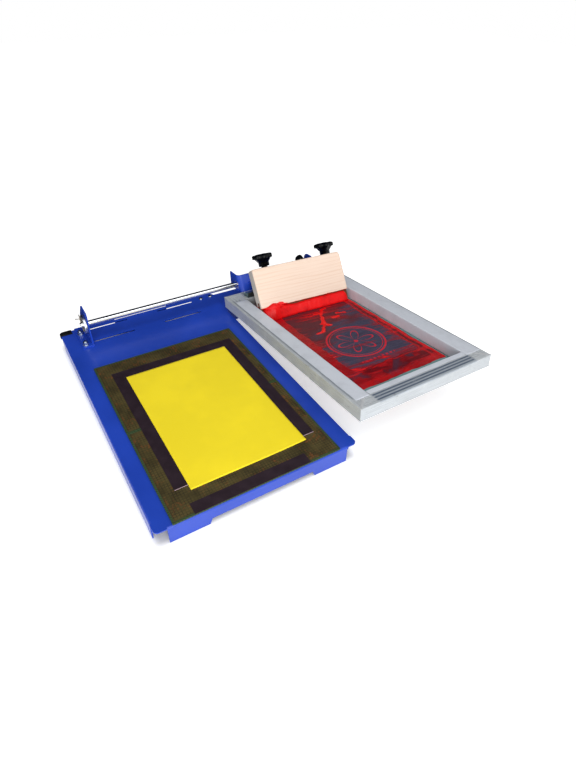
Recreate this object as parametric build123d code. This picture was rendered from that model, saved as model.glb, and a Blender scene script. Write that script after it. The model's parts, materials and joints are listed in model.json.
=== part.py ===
from build123d import *
import math
import os

# Tabletop screen printing press.
#
# A folded steel bed carries a chromed shaft along its rear edge.  A folded steel carriage slides and
# tilts on the shaft and clamps an aluminium screen frame under a pressure bar with two star knob screws.
# The screen is parked to the right of the bed, where it overhangs; an extension arm under the bed
# carries the shaft out there.
#
# Millimetres.  X runs along the shaft, Y from the operator's edge of the bed to the shaft, Z up from
# the bench.
# The carriage and the screen are modelled level and then tilted about the shaft to their parked angle.

CUT = 1.0                    # how far a cutting shape runs past the face that it cuts

# ---------------------------------------------------------------- bed
BED_WIDTH = 360.0
BED_DEPTH = 590.0
BED_HEIGHT = 34.0            # top of the bed above the bench
BED_SHEET = 2.0
BED_CORNER_RADIUS = 8.0
BEND_RADIUS = 3.5            # outer radius of the folds
FLANGE_MARGIN = 20.0         # from a corner of the bed to the end of a flange
FRONT_FLANGE_DEPTH = 23.0    # between the two front feet
FRONT_FOOT_LENGTH = 65.0
FOOT_SLANT = 4.0
REAR_FOOT_LENGTH = 123.0
RIGHT_FLANGE_GAP = 5.0       # between the right flange and the extension arm behind it

# ---------------------------------------------------------------- slots for stops and register blocks
SLOT_LENGTH = 88.0
SLOT_WIDTH = 6.0
SLOT_SPACING_X = 157.0
SLOT_SPACING_Y = 52.0
SLOT_CENTRE_FROM_REAR = 39.0  # middle of the pattern from the bed's rear edge

# ---------------------------------------------------------------- mats, strips and stock
MAT_THICKNESS = 3.0
MAT_WIDTH = 297.0
MAT_DEPTH = 212.0
MAT_LEFT = 29.0
MAT_FRONT = 1.0
MAT_CORNER_RADIUS = 2.0
STRIP_THICKNESS = 0.5
STRIP_WIDTH = 22.0
STRIP_SIDE_FRONT = 57.0      # front ends of the two side strips
FRONT_STRIP_LENGTH = 203.0
FRONT_STRIP_LEFT = 64.0
STOCK_WIDTH = 210.0
STOCK_LENGTH = 320.0
STOCK_THICKNESS = 0.3
STOCK_LEFT = 76.3
STOCK_FRONT = 46.0
STOCK_GAP = 0.3              # between the stock and the strips it is laid against

# ---------------------------------------------------------------- shaft and its end brackets
SHAFT_RADIUS = 6.0
SHAFT_ABOVE_BED = 39.5
SHAFT_FROM_REAR = 55.0       # axis in front of the bed's rear edge
SHAFT_LEFT_END = 3.2         # shaft beyond its left pin
SHAFT_RIGHT_END = 10.0       # shaft beyond its right pin
SHAFT_CHAMFER = 0.8
BRACKET_SHEET = 3.0
BRACKET_FIT = 0.1            # radial clearance of the shaft in its brackets
BRACKET_BEND = 2.7
LEFT_BRACKET_FACE = 50.75    # outer face of the left upright
LEFT_BRACKET_DEPTH = 77.0    # its rear edge is flush with the bed
LEFT_BRACKET_HEIGHT = 75.0
LEFT_BRACKET_TOP = 37.0      # level part of its top edge
LEFT_FOOT_WIDTH = 23.45
LEFT_FOOT_LEAD = 7.0         # foot in front of the upright
RIGHT_BRACKET_FACE = 650.0   # outer face of the right upright
RIGHT_BRACKET_RADIUS = 15.0
RIGHT_FOOT_WIDTH = 22.0
RIGHT_FOOT_MARGIN = 4.0      # beyond a bolt head
BOLT_RADIUS = 3.0
BOLT_HEAD_RADIUS = 5.6
BOLT_HEAD_HEIGHT = 3.4
NUT_FLATS = 10.0
NUT_HEIGHT = 5.0
WASHER_RADIUS = 6.4
WASHER_THICKNESS = 1.2
BOLT_CLEARANCE = 0.25
BOLT_PROUD = 3.0             # thread showing above a nut
LEFT_BOLT_INSET_X = 7.7      # bolt line from the free edge of the left foot
LEFT_BOLT_INSET_Y = 10.0     # front bolt from the front edge of the left foot
LEFT_BOLT_SPACING = 45.6
END_COLLAR_RADIUS = 20.5
END_COLLAR_LENGTH = 6.0
COLLAR_CHAMFER = 1.0
RIGHT_COLLAR_RADIUS = 11.0
RIGHT_COLLAR_LENGTH = 9.0
PIN_RADIUS = 1.1
PIN_FIT = 0.1
PIN_LEAN = 38.0              # of the pin from the vertical, its eye in front and below
PIN_EYE_RADIUS = 3.4
PIN_REACH = 14.0             # from the shaft axis to where the legs part
PIN_LEG_RADIUS = 0.9
PIN_LEG_LENGTH = 10.0
PIN_OUTER_BEND = 78.0        # of the leg that points away from the collar, degrees
PIN_INNER_BEND = 35.0
PIN_GAP = 0.9                # between the pin and the collar

# ---------------------------------------------------------------- extension arm
ARM_OVERLAP = 52.0           # under the bed, from its right edge
ARM_END_MARGIN = 5.0         # beyond the foot of the right bracket
ARM_FROM_REAR = 87.0         # front face of the arm from the bed's rear edge
ARM_SHEET = 3.0
ARM_BEND = 2.5
ARM_SCREWS_FROM_RIGHT = (34.0, 10.0)   # from the bed's right edge
ARM_SCREWS_FROM_REAR = 12.0
ARM_SCREW_RADIUS = 2.5
ARM_SCREW_HEAD_RADIUS = 4.6
ARM_SCREW_HEAD_HEIGHT = 2.6
ARM_SCREW_DOME = 1.8
ARM_SCREW_PROUD = 1.5        # thread showing below a nut
ARM_NUT_FLATS = 8.0
ARM_NUT_HEIGHT = 4.0

# ---------------------------------------------------------------- corner cap
CAP_LENGTH = 24.0
CAP_DEPTH = 15.0
CAP_TOP = 1.8                # rubber above the bed
CAP_BELOW = 4.0
CAP_LIP = 1.6                # rubber outside the corner
CAP_EDGE = 0.9

# ---------------------------------------------------------------- carriage
REST_TILT = 5.2              # screen parked with its front edge up, degrees
CARRIAGE_FROM_FRAME = 46.7   # left wing from the left face of the screen frame
CARRIAGE_WIDTH = 213.2
CARRIAGE_SHEET = 3.0
CARRIAGE_BEND = 10.0
WING_REAR = 32.0             # behind the shaft axis
WING_TOP = 22.0              # above the shaft axis
WING_BOTTOM = 14.0           # below the shaft axis
WING_TOP_FRONT = 7.0         # in front of the shaft axis
RIGHT_WING_ROUND = 14.0      # its upper rear corner
BUSH_RADIUS = 7.2
BUSH_FLANGE_RADIUS = 8.0
BUSH_FLANGE = 4.0            # on the inner side of a wing
RUNNING_FIT = 0.05
SLEEVE_RADIUS = 10.0
SLEEVE_END_GAP = 0.3
LOCK_COLLAR_RADIUS = 15.0
LOCK_COLLAR_LENGTH = 18.0
LOCK_COLLAR_FROM_END = 4.0
LOCK_COLLAR_EDGE = 1.2
LOCK_ANGLE = 17.0            # of the lock screw above the horizontal, degrees
LOCK_SCREW_RADIUS = 3.0
LOCK_SHOE_GAP = 0.3
LOCK_SHOE_END = 13.0         # from the shaft axis
LOCK_KNOB_START = 20.0
LOCK_KNOB_RADIUS = 10.0
LOCK_KNOB_HEIGHT = 14.0
LOCK_KNOB_EDGE = 2.0
LOCK_STUD_IN_KNOB = 8.4
LOCK_KNOB_FLUTES = 8
LOCK_KNOB_FLUTE_RADIUS = 1.6

# ---------------------------------------------------------------- screen frame
FRAME_WIDTH = 302.0
FRAME_LENGTH = 510.0
RAIL_WIDTH = 37.0
RAIL_HEIGHT = 25.0
RAIL_WALL = 2.0
RAIL_GROOVES = (7.0, 14.0, 21.0)   # from the outer face
GROOVE_WIDTH = 2.4
GROOVE_DEPTH = 0.8
FRAME_LEFT = 356.0
FRAME_REAR_SETBACK = 28.4    # rear face of the frame in front of the shaft axis
FRAME_TOP_BELOW_AXIS = 10.0
MESH_THICKNESS = 0.4
MESH_MARGIN = 22.0           # mesh set in from the outer faces of the frame
TAPE_THICKNESS = 0.25
SIDE_TAPE_LEFT_START = 8.5   # from the outer face of the rail
SIDE_TAPE_RIGHT_START = 3.0
FRONT_TAPE_START = 26.0
FRONT_TAPE_GAP = 2.0         # between its ends and the inner faces of the side rails
SIDE_TAPE_REAR = 42.0
SIDE_TAPE_FRONT = 24.0

# ---------------------------------------------------------------- clamp
JAW_DEPTH = 20.0
JAW_THICKNESS = 2.5
CLAMP_LEAN = 18.0            # of the clamp screws towards the rear, from the normal of the frame, degrees
CLAMP_GAP = 0.2
BRIDGE_SEAT = 23.0           # underside of the bridge from the frame's top, along the screws
BRIDGE_THICKNESS = 5.0
BRIDGE_LEAD = 10.0           # in front of the screw line
BRIDGE_CORNER = 3.0
BRIDGE_END_MARGIN = 10.4     # beyond the right screw
BRIDGE_LEFT_MARGIN = 34.5    # beyond the left screw
PRESSURE_BAR_LEFT_MARGIN = 61.5
PRESSURE_BAR_RIGHT_MARGIN = 13.4
PRESSURE_BAR_FRONT = 36.0    # from the rear face of the frame
PRESSURE_BAR_DEPTH = 19.0
PRESSURE_BAR_THICKNESS = 10.0   # at the screw line; its top is square to the screws
PRESSURE_BAR_CHAMFER = 0.8
SCREW_RADIUS = 4.0
SCREW_CHAMFER = 0.8
SCREW_INSET = 26.0           # where the screws press, from the rear face of the frame
SCREW_SOCKET_DEPTH = 3.0
SCREW_SOCKET_FIT = 0.1
LEFT_SCREW_FROM_FRAME = 104.5
RIGHT_SCREW_FROM_FRAME = 273.6
LEFT_KNOB_BASE = 50.7        # underside of the knob from the frame's top, along the screw
RIGHT_KNOB_BASE = 42.2
SCREW_IN_KNOB = 18.0
KNOB_LOBES = 7
KNOB_LOBE_RADIUS = 7.2
KNOB_LOBE_CIRCLE = 17.0
KNOB_CORE_RADIUS = 20.0
KNOB_HEAD_HEIGHT = 9.0
KNOB_SHOULDER_HEIGHT = 8.0
KNOB_SHOULDER_TOP = 19.0
KNOB_SHOULDER_RADIUS = 13.5
KNOB_HUB_HEIGHT = 10.0
KNOB_HUB_RADIUS = 12.5
KNOB_NECK_HEIGHT = 6.0
KNOB_NECK_RADIUS = 7.0
KNOB_EDGE = 1.8

# ---------------------------------------------------------------- squeegee
SQUEEGEE_HEIGHT = 88.0
SQUEEGEE_THICKNESS = 28.0
SQUEEGEE_LEFT = 39.5         # from the left face of the frame
SQUEEGEE_RIGHT = 42.5        # from the right face of the frame, before the squeegee is turned
SQUEEGEE_FROM_REAR = 109.0   # front lower edge of its left end from the rear face of the frame
SQUEEGEE_LEAN = 30.0         # from the normal of the mesh, degrees
SQUEEGEE_TURN = 4.7          # right end towards the operator, degrees
SQUEEGEE_TOP_ROUND = 3.5
SQUEEGEE_LEFT_ROUND = 4.0
SQUEEGEE_RIGHT_ROUND = 8.0
BLADE_THICKNESS = 8.0
BLADE_EMBEDDED = 15.0
BLADE_SET_BACK = 9.0         # front of the blade behind the front face of the handle
BLADE_FREE = 21.0            # blade showing below the handle
BLADE_ABOVE_MESH = 0.3

# ---------------------------------------------------------------- worked out places
BED_TOP = BED_HEIGHT
FRONT_TAPE_LENGTH = FRAME_WIDTH - 2 * RAIL_WIDTH - 2 * FRONT_TAPE_GAP
SQUEEGEE_WIDTH = FRAME_WIDTH - SQUEEGEE_LEFT - SQUEEGEE_RIGHT
SHAFT_Y = BED_DEPTH - SHAFT_FROM_REAR
SHAFT_Z = BED_TOP + SHAFT_ABOVE_BED
SHAFT_AXIS = Axis((0, SHAFT_Y, SHAFT_Z), (1, 0, 0))
LEFT_BRACKET_FRONT = BED_DEPTH - LEFT_BRACKET_DEPTH
LEFT_PIN_X = LEFT_BRACKET_FACE - END_COLLAR_LENGTH - PIN_GAP - PIN_RADIUS
RIGHT_PIN_X = RIGHT_BRACKET_FACE + BRACKET_SHEET + RIGHT_COLLAR_LENGTH + PIN_GAP + PIN_RADIUS
SHAFT_LEFT = LEFT_PIN_X - SHAFT_LEFT_END
SHAFT_RIGHT = RIGHT_PIN_X + SHAFT_RIGHT_END
ARM_LEFT = BED_WIDTH - ARM_OVERLAP
ARM_RIGHT = RIGHT_BRACKET_FACE + BRACKET_SHEET + RIGHT_FOOT_WIDTH + ARM_END_MARGIN
ARM_FRONT = BED_DEPTH - ARM_FROM_REAR
ARM_SCREW_X = [BED_WIDTH - inset for inset in ARM_SCREWS_FROM_RIGHT]
ARM_SCREW_Y = BED_DEPTH - ARM_SCREWS_FROM_REAR
FRAME_REAR_Y = SHAFT_Y - FRAME_REAR_SETBACK
FRAME_FRONT_Y = FRAME_REAR_Y - FRAME_LENGTH
FRAME_TOP_Z = SHAFT_Z - FRAME_TOP_BELOW_AXIS
FRAME_BOTTOM_Z = FRAME_TOP_Z - RAIL_HEIGHT
CARRIAGE_LEFT = FRAME_LEFT + CARRIAGE_FROM_FRAME
CARRIAGE_RIGHT = CARRIAGE_LEFT + CARRIAGE_WIDTH
SLOPE_RUN = (FRAME_REAR_SETBACK - WING_TOP_FRONT) / (WING_TOP + FRAME_TOP_BELOW_AXIS)
SCREW_Y = FRAME_REAR_Y - SCREW_INSET
LEFT_SCREW_X = FRAME_LEFT + LEFT_SCREW_FROM_FRAME
RIGHT_SCREW_X = FRAME_LEFT + RIGHT_SCREW_FROM_FRAME
CLAMP_AXIS = Axis((0, SCREW_Y, FRAME_TOP_Z), (1, 0, 0))
BAR_SEAT = PRESSURE_BAR_THICKNESS * math.cos(math.radians(CLAMP_LEAN))   # its top, along the screws
PARTS = {}


def block(low, high):
    """A box between two corner points."""
    size = [b - a for a, b in zip(low, high)]
    centre = [(a + b) / 2 for a, b in zip(low, high)]
    return Pos(*centre) * Box(*size)


def prism_yz(points, x0, x1):
    """A closed outline in the YZ plane, carried along X from x0 to x1."""
    face = make_face(Polyline(*[(x0, y, z) for y, z in points], close=True))
    return extrude(face, amount=x1 - x0, dir=(1, 0, 0))


def prism_xz(points, y0, y1):
    """A closed outline in the XZ plane, carried along Y from y0 to y1."""
    face = make_face(Polyline(*[(x, y0, z) for x, z in points], close=True))
    return extrude(face, amount=y1 - y0, dir=(0, 1, 0))


def rod_x(radius, x0, x1, y=SHAFT_Y, z=SHAFT_Z):
    """A round bar along X."""
    return Pos((x0 + x1) / 2, y, z) * Rot(0, 90, 0) * Cylinder(radius, x1 - x0)


def rod_z(radius, z0, z1, x, y):
    """A round bar along Z."""
    return Pos(x, y, (z0 + z1) / 2) * Cylinder(radius, z1 - z0)


def hex_z(flats, z0, z1, x, y):
    """A hexagonal bar along Z."""
    outline = RegularPolygon(radius=flats / 2, side_count=6, major_radius=False)
    return Pos(x, y, z0) * extrude(outline, amount=z1 - z0)


def tilted(shape):
    """Turn a piece of the level carriage or screen to its parked angle about the shaft."""
    return shape.rotate(SHAFT_AXIS, -REST_TILT)


def leant(shape):
    """Turn a level piece of the clamp back by its lean, and then tilt it with the screen."""
    return tilted(shape.rotate(CLAMP_AXIS, -CLAMP_LEAN))


def one_solid(shape):
    """The single solid inside a boolean result."""
    return shape.solids()[0] if len(shape.solids()) == 1 else shape


# ================================================================ bed
def folded_flange(length, outline):
    """A bend and its flange along local X, outer face at y = 0 and the bed's top at z = 0.

    outline lists (x, depth) points of the flange's lower edge from left to right.
    """
    inner = BEND_RADIUS - BED_SHEET
    ring = Circle(BEND_RADIUS) - Circle(inner)
    quarter = ring & Pos(-BEND_RADIUS / 2, BEND_RADIUS / 2) * Rectangle(BEND_RADIUS, BEND_RADIUS)
    bend = extrude(Plane.YZ * quarter, amount=length)
    bend = Pos(0, BEND_RADIUS, -BEND_RADIUS) * bend
    points = [(0, -BEND_RADIUS), (length, -BEND_RADIUS)] + [(x, -depth) for x, depth in reversed(outline)]
    return bend + prism_xz(points, 0, BED_SHEET)


def bed_plate():
    """The bed: a flat sheet with folded flanges that are its feet, and four slots."""
    outline = Pos(BED_WIDTH / 2, BED_DEPTH / 2) * RectangleRounded(BED_WIDTH, BED_DEPTH, BED_CORNER_RADIUS)
    sheet = Pos(0, 0, BED_TOP - BED_SHEET) * extrude(outline, amount=BED_SHEET)
    front_length = BED_WIDTH - 2 * FLANGE_MARGIN
    left_length = BED_DEPTH - 2 * FLANGE_MARGIN
    right_end = ARM_FRONT - RIGHT_FLANGE_GAP
    right_length = right_end - FLANGE_MARGIN
    rear_start = (BED_WIDTH - REAR_FOOT_LENGTH) / 2
    rear_end = rear_start + REAR_FOOT_LENGTH
    high = BED_TOP + CUT
    strips = [
        block((FLANGE_MARGIN, -CUT, 0), (FLANGE_MARGIN + front_length, BEND_RADIUS, high)),
        block((-CUT, FLANGE_MARGIN, 0), (BEND_RADIUS, FLANGE_MARGIN + left_length, high)),
        block((BED_WIDTH - BEND_RADIUS, FLANGE_MARGIN, 0), (BED_WIDTH + CUT, right_end, high)),
        block((rear_start, BED_DEPTH - BEND_RADIUS, 0), (rear_end, BED_DEPTH + CUT, high)),
    ]
    for strip in strips:
        sheet -= strip
    foot_end = FRONT_FOOT_LENGTH + FOOT_SLANT
    front_edge = [
        (0, BED_HEIGHT),
        (FRONT_FOOT_LENGTH, BED_HEIGHT),
        (foot_end, FRONT_FLANGE_DEPTH),
        (front_length - foot_end, FRONT_FLANGE_DEPTH),
        (front_length - FRONT_FOOT_LENGTH, BED_HEIGHT),
        (front_length, BED_HEIGHT),
    ]
    front = Pos(FLANGE_MARGIN, 0, BED_TOP) * folded_flange(front_length, front_edge)
    left = folded_flange(left_length, [(0, BED_HEIGHT), (left_length, BED_HEIGHT)])
    left = Pos(0, FLANGE_MARGIN + left_length, BED_TOP) * Rot(0, 0, -90) * left
    right = folded_flange(right_length, [(0, BED_HEIGHT), (right_length, BED_HEIGHT)])
    right = Pos(BED_WIDTH, FLANGE_MARGIN, BED_TOP) * Rot(0, 0, 90) * right
    rear = folded_flange(REAR_FOOT_LENGTH, [(0, BED_HEIGHT), (REAR_FOOT_LENGTH, BED_HEIGHT)])
    rear = Pos(rear_start + REAR_FOOT_LENGTH, BED_DEPTH, BED_TOP) * Rot(0, 0, 180) * rear
    plate = sheet + front + left + right + rear
    for side_x in (-1, 1):
        for side_y in (-1, 1):
            x = BED_WIDTH / 2 + side_x * SLOT_SPACING_X / 2
            y = BED_DEPTH - SLOT_CENTRE_FROM_REAR + side_y * SLOT_SPACING_Y / 2
            slot = extrude(SlotOverall(SLOT_LENGTH, SLOT_WIDTH), amount=BED_SHEET + 2 * CUT)
            plate -= Pos(x, y, BED_TOP - BED_SHEET - CUT) * slot
    for x, y in left_bolt_places():
        plate -= rod_z(BOLT_RADIUS + BOLT_CLEARANCE, BED_TOP - BED_SHEET - CUT, BED_TOP + CUT, x, y)
    for x in ARM_SCREW_X:
        plate -= rod_z(ARM_SCREW_RADIUS + BOLT_CLEARANCE, BED_TOP - BED_SHEET - CUT, BED_TOP + CUT,
                       x, ARM_SCREW_Y)
    return one_solid(plate)


def extension_arm():
    """The channel under the bed's rear right that carries the right end of the shaft."""
    top = BED_TOP - BED_SHEET
    arm = block((ARM_LEFT, ARM_FRONT, 0), (ARM_RIGHT, BED_DEPTH - BEND_RADIUS, top))
    arm -= block((ARM_LEFT - CUT, ARM_FRONT + ARM_SHEET, -CUT),
                 (ARM_RIGHT + CUT, BED_DEPTH - BEND_RADIUS - ARM_SHEET, top - ARM_SHEET))
    folds = arm.edges().filter_by(Axis.X).group_by(Axis.Z)[-1]
    arm = fillet(folds, ARM_BEND)
    for x in ARM_SCREW_X:
        arm -= rod_z(ARM_SCREW_RADIUS + BOLT_CLEARANCE, top - ARM_SHEET - CUT, top + CUT, x, ARM_SCREW_Y)
    for x, y in right_bolt_places():
        arm -= rod_z(BOLT_RADIUS + BOLT_CLEARANCE, top - ARM_SHEET - CUT, top + CUT, x, y)
    return one_solid(arm)


def arm_screws():
    """Two button head screws with nuts that hold the arm under the bed."""
    under = BED_TOP - BED_SHEET - ARM_SHEET
    group = []
    for x in ARM_SCREW_X:
        head = rod_z(ARM_SCREW_HEAD_RADIUS, BED_TOP, BED_TOP + ARM_SCREW_HEAD_HEIGHT, x, ARM_SCREW_Y)
        head = fillet(head.edges().group_by(Axis.Z)[-1], ARM_SCREW_DOME)
        shank = rod_z(ARM_SCREW_RADIUS, under - ARM_NUT_HEIGHT - ARM_SCREW_PROUD, BED_TOP, x, ARM_SCREW_Y)
        nut = hex_z(ARM_NUT_FLATS, under - ARM_NUT_HEIGHT, under, x, ARM_SCREW_Y)
        group.append(one_solid(head + shank + nut))
    return Compound(children=group)


def corner_cap():
    """The rubber cap on the bed's free rear left corner, slotted over the sheet."""
    low = (-CAP_LIP, BED_DEPTH - CAP_DEPTH, BED_TOP - BED_SHEET - CAP_BELOW)
    high = (CAP_LENGTH, BED_DEPTH + CAP_LIP, BED_TOP + CAP_TOP)
    cap = block(low, high)
    corner = cap.edges().filter_by(Axis.Z).sort_by(Axis.X)[:2].sort_by(Axis.Y)[-1]
    cap = fillet(corner, BED_CORNER_RADIUS + CAP_LIP)
    cap = fillet(cap.edges().group_by(Axis.Z)[-1], CAP_EDGE)
    outline = Pos(BED_WIDTH / 2, BED_DEPTH / 2) * RectangleRounded(BED_WIDTH, BED_DEPTH, BED_CORNER_RADIUS)
    sheet = Pos(0, 0, BED_TOP - BED_SHEET) * extrude(outline, amount=BED_SHEET)
    return one_solid(cap - sheet)


# ================================================================ mats, strips and stock
def cutting_mat(front):
    """One self healing mat."""
    outline = RectangleRounded(MAT_WIDTH, MAT_DEPTH, MAT_CORNER_RADIUS)
    mat = extrude(outline, amount=MAT_THICKNESS)
    return Pos(MAT_LEFT + MAT_WIDTH / 2, front + MAT_DEPTH / 2, BED_TOP) * mat


def strip(left, front, width, depth):
    """One register strip stuck on the mats."""
    low = BED_TOP + MAT_THICKNESS
    return block((left, front, low), (left + width, front + depth, low + STRIP_THICKNESS))


def make_mats():
    """The two mats, the four strips and the sheet of stock between them."""
    stock_right = STOCK_LEFT + STOCK_WIDTH
    stock_rear = STOCK_FRONT + STOCK_LENGTH
    rear_left = STOCK_LEFT - STOCK_GAP
    rear_right = stock_right + STOCK_GAP
    side_depth = stock_rear + STOCK_GAP - STRIP_SIDE_FRONT
    PARTS["front_cutting_mat"] = cutting_mat(MAT_FRONT)
    PARTS["rear_cutting_mat"] = cutting_mat(MAT_FRONT + MAT_DEPTH)
    PARTS["left_register_strip"] = strip(rear_left - STRIP_WIDTH, STRIP_SIDE_FRONT, STRIP_WIDTH, side_depth)
    PARTS["right_register_strip"] = strip(rear_right, STRIP_SIDE_FRONT, STRIP_WIDTH, side_depth)
    PARTS["rear_register_strip"] = strip(rear_left - STRIP_WIDTH, stock_rear + STOCK_GAP,
                                         rear_right - rear_left + 2 * STRIP_WIDTH, STRIP_WIDTH)
    PARTS["front_register_strip"] = strip(FRONT_STRIP_LEFT, MAT_FRONT, FRONT_STRIP_LENGTH, STRIP_WIDTH)
    low = BED_TOP + MAT_THICKNESS
    PARTS["stock_sheet"] = block((STOCK_LEFT, STOCK_FRONT, low),
                                 (stock_right, stock_rear, low + STOCK_THICKNESS))


# ================================================================ shaft and its brackets
def left_bolt_places():
    """The two bolts through the foot of the left bracket."""
    x = LEFT_BRACKET_FACE + BRACKET_SHEET - LEFT_FOOT_WIDTH + LEFT_BOLT_INSET_X
    y = LEFT_BRACKET_FRONT - LEFT_FOOT_LEAD + LEFT_BOLT_INSET_Y
    return [(x, y), (x, y + LEFT_BOLT_SPACING)]


def right_bolt_places():
    """The two bolts through the foot of the right bracket."""
    x = RIGHT_BRACKET_FACE + BRACKET_SHEET + RIGHT_FOOT_WIDTH / 2
    return [(x, SHAFT_Y - RIGHT_BRACKET_RADIUS), (x, SHAFT_Y + RIGHT_BRACKET_RADIUS)]


def left_end_bracket():
    """Folded angle: a foot on the bed and an upright with a sloping rear corner."""
    rear = LEFT_BRACKET_FRONT + LEFT_BRACKET_DEPTH
    slope = LEFT_BRACKET_DEPTH - LEFT_BRACKET_TOP
    top = BED_TOP + LEFT_BRACKET_HEIGHT
    profile = [
        (LEFT_BRACKET_FRONT, BED_TOP),
        (LEFT_BRACKET_FRONT, top),
        (rear - slope, top),
        (rear, top - slope),
        (rear, BED_TOP),
    ]
    inner = LEFT_BRACKET_FACE + BRACKET_SHEET
    upright = prism_yz(profile, LEFT_BRACKET_FACE, inner)
    foot = block((inner - LEFT_FOOT_WIDTH, LEFT_BRACKET_FRONT - LEFT_FOOT_LEAD, BED_TOP),
                 (inner, rear, BED_TOP + BRACKET_SHEET))
    bracket = upright + foot
    bend = bracket.edges().filter_by(Axis.Y).filter_by_position(Axis.X, inner - 0.01, inner + 0.01)
    bracket = fillet(bend.sort_by(Axis.Z)[0], BRACKET_BEND)
    bracket -= rod_x(SHAFT_RADIUS + BRACKET_FIT, LEFT_BRACKET_FACE - CUT, inner + CUT)
    for x, y in left_bolt_places():
        bracket -= rod_z(BOLT_RADIUS + BOLT_CLEARANCE, BED_TOP - CUT, BED_TOP + BRACKET_SHEET + CUT, x, y)
    return one_solid(bracket)


def right_end_bracket():
    """Folded angle with a round top, on the extension arm."""
    low = BED_TOP - BED_SHEET
    outer = RIGHT_BRACKET_FACE + BRACKET_SHEET
    front = SHAFT_Y - RIGHT_BRACKET_RADIUS
    rear = SHAFT_Y + RIGHT_BRACKET_RADIUS
    upright = block((RIGHT_BRACKET_FACE, front, low), (outer, rear, SHAFT_Z))
    upright += rod_x(RIGHT_BRACKET_RADIUS, RIGHT_BRACKET_FACE, outer)
    foot_margin = BOLT_HEAD_RADIUS + RIGHT_FOOT_MARGIN
    foot = block((RIGHT_BRACKET_FACE, front - foot_margin, low),
                 (outer + RIGHT_FOOT_WIDTH, rear + foot_margin, low + BRACKET_SHEET))
    bracket = upright + foot
    bracket -= rod_x(SHAFT_RADIUS + BRACKET_FIT, RIGHT_BRACKET_FACE - CUT, outer + CUT)
    for x, y in right_bolt_places():
        bracket -= rod_z(BOLT_RADIUS + BOLT_CLEARANCE, low - CUT, low + BRACKET_SHEET + CUT, x, y)
    return one_solid(bracket)


def bolt(x, y, under, over):
    """A bolt with its head under the sheets and its end above the nut."""
    nut_top = over + WASHER_THICKNESS + NUT_HEIGHT
    head = hex_z(NUT_FLATS, under - BOLT_HEAD_HEIGHT, under, x, y)
    return one_solid(head + rod_z(BOLT_RADIUS, under, nut_top + BOLT_PROUD, x, y))


def nut(x, y, over):
    """A nut on its washer, bored for the bolt."""
    seat = over + WASHER_THICKNESS
    washer = rod_z(WASHER_RADIUS, over, seat, x, y)
    body = hex_z(NUT_FLATS, seat, seat + NUT_HEIGHT, x, y)
    return one_solid(washer + body - rod_z(BOLT_RADIUS, over - CUT, seat + NUT_HEIGHT + CUT, x, y))


def make_fasteners():
    """Bolts and nuts of both brackets, each kind as one group."""
    left_over = BED_TOP + BRACKET_SHEET
    left_under = BED_TOP - BED_SHEET
    right_over = BED_TOP - BED_SHEET + BRACKET_SHEET
    right_under = BED_TOP - BED_SHEET - ARM_SHEET
    bolts = [bolt(x, y, left_under, left_over) for x, y in left_bolt_places()]
    bolts += [bolt(x, y, right_under, right_over) for x, y in right_bolt_places()]
    nuts = [nut(x, y, left_over) for x, y in left_bolt_places()]
    nuts += [nut(x, y, right_over) for x, y in right_bolt_places()]
    PARTS["bracket_bolts"] = Compound(children=bolts)
    PARTS["bracket_nuts"] = Compound(children=nuts)


def slide_shaft():
    """The chromed shaft with a cross hole near each end."""
    shaft = rod_x(SHAFT_RADIUS, SHAFT_LEFT, SHAFT_RIGHT)
    shaft = chamfer(shaft.edges().filter_by(GeomType.CIRCLE), SHAFT_CHAMFER)
    for x in (LEFT_PIN_X, RIGHT_PIN_X):
        hole = Rot(-PIN_LEAN, 0, 0) * Cylinder(PIN_RADIUS + PIN_FIT, 4 * SHAFT_RADIUS)
        shaft -= Pos(x, SHAFT_Y, SHAFT_Z) * hole
    return one_solid(shaft)


def split_pin(x, outward):
    """A split pin through the shaft: its eye in front and below, and two legs bent apart behind and above.

    outward is -1 on the left end of the shaft and 1 on the right.
    """
    low = -SHAFT_RADIUS - PIN_RADIUS
    eye = Pos(0, 0, low - PIN_EYE_RADIUS) * Rot(0, 90, 0) * Torus(PIN_EYE_RADIUS, PIN_RADIUS)
    pin = eye + up_z(PIN_RADIUS, low, PIN_REACH)
    for bend_x, bend_y in ((0, outward * PIN_OUTER_BEND), (PIN_INNER_BEND, 0)):
        leg = Cylinder(PIN_LEG_RADIUS, PIN_LEG_LENGTH, align=(Align.CENTER, Align.CENTER, Align.MIN))
        pin += Pos(0, 0, PIN_REACH - PIN_LEG_RADIUS) * Rot(bend_x, bend_y, 0) * leg
    return one_solid(Pos(x, SHAFT_Y, SHAFT_Z) * Rot(-PIN_LEAN, 0, 0) * pin)


def shaft_collar(radius, x0, x1):
    """A turned collar on the shaft against the outside of a bracket."""
    collar = rod_x(radius, x0, x1)
    collar = chamfer(collar.edges().filter_by(GeomType.CIRCLE), COLLAR_CHAMFER)
    return one_solid(collar - rod_x(SHAFT_RADIUS, x0 - CUT, x1 + CUT))


def make_shaft():
    """Shaft, brackets, collars and split pins."""
    outer = RIGHT_BRACKET_FACE + BRACKET_SHEET
    PARTS["slide_shaft"] = slide_shaft()
    PARTS["left_end_bracket"] = left_end_bracket()
    PARTS["right_end_bracket"] = right_end_bracket()
    PARTS["left_shaft_collar"] = shaft_collar(END_COLLAR_RADIUS, LEFT_BRACKET_FACE - END_COLLAR_LENGTH,
                                              LEFT_BRACKET_FACE)
    PARTS["right_shaft_collar"] = shaft_collar(RIGHT_COLLAR_RADIUS, outer, outer + RIGHT_COLLAR_LENGTH)
    PARTS["split_pins"] = Compound(children=[split_pin(LEFT_PIN_X, -1), split_pin(RIGHT_PIN_X, 1)])


# ================================================================ slider on the shaft
def lock_direction():
    """Unit vector of the lock screw in the YZ plane."""
    angle = math.radians(LOCK_ANGLE)
    return math.cos(angle), math.sin(angle)


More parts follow.
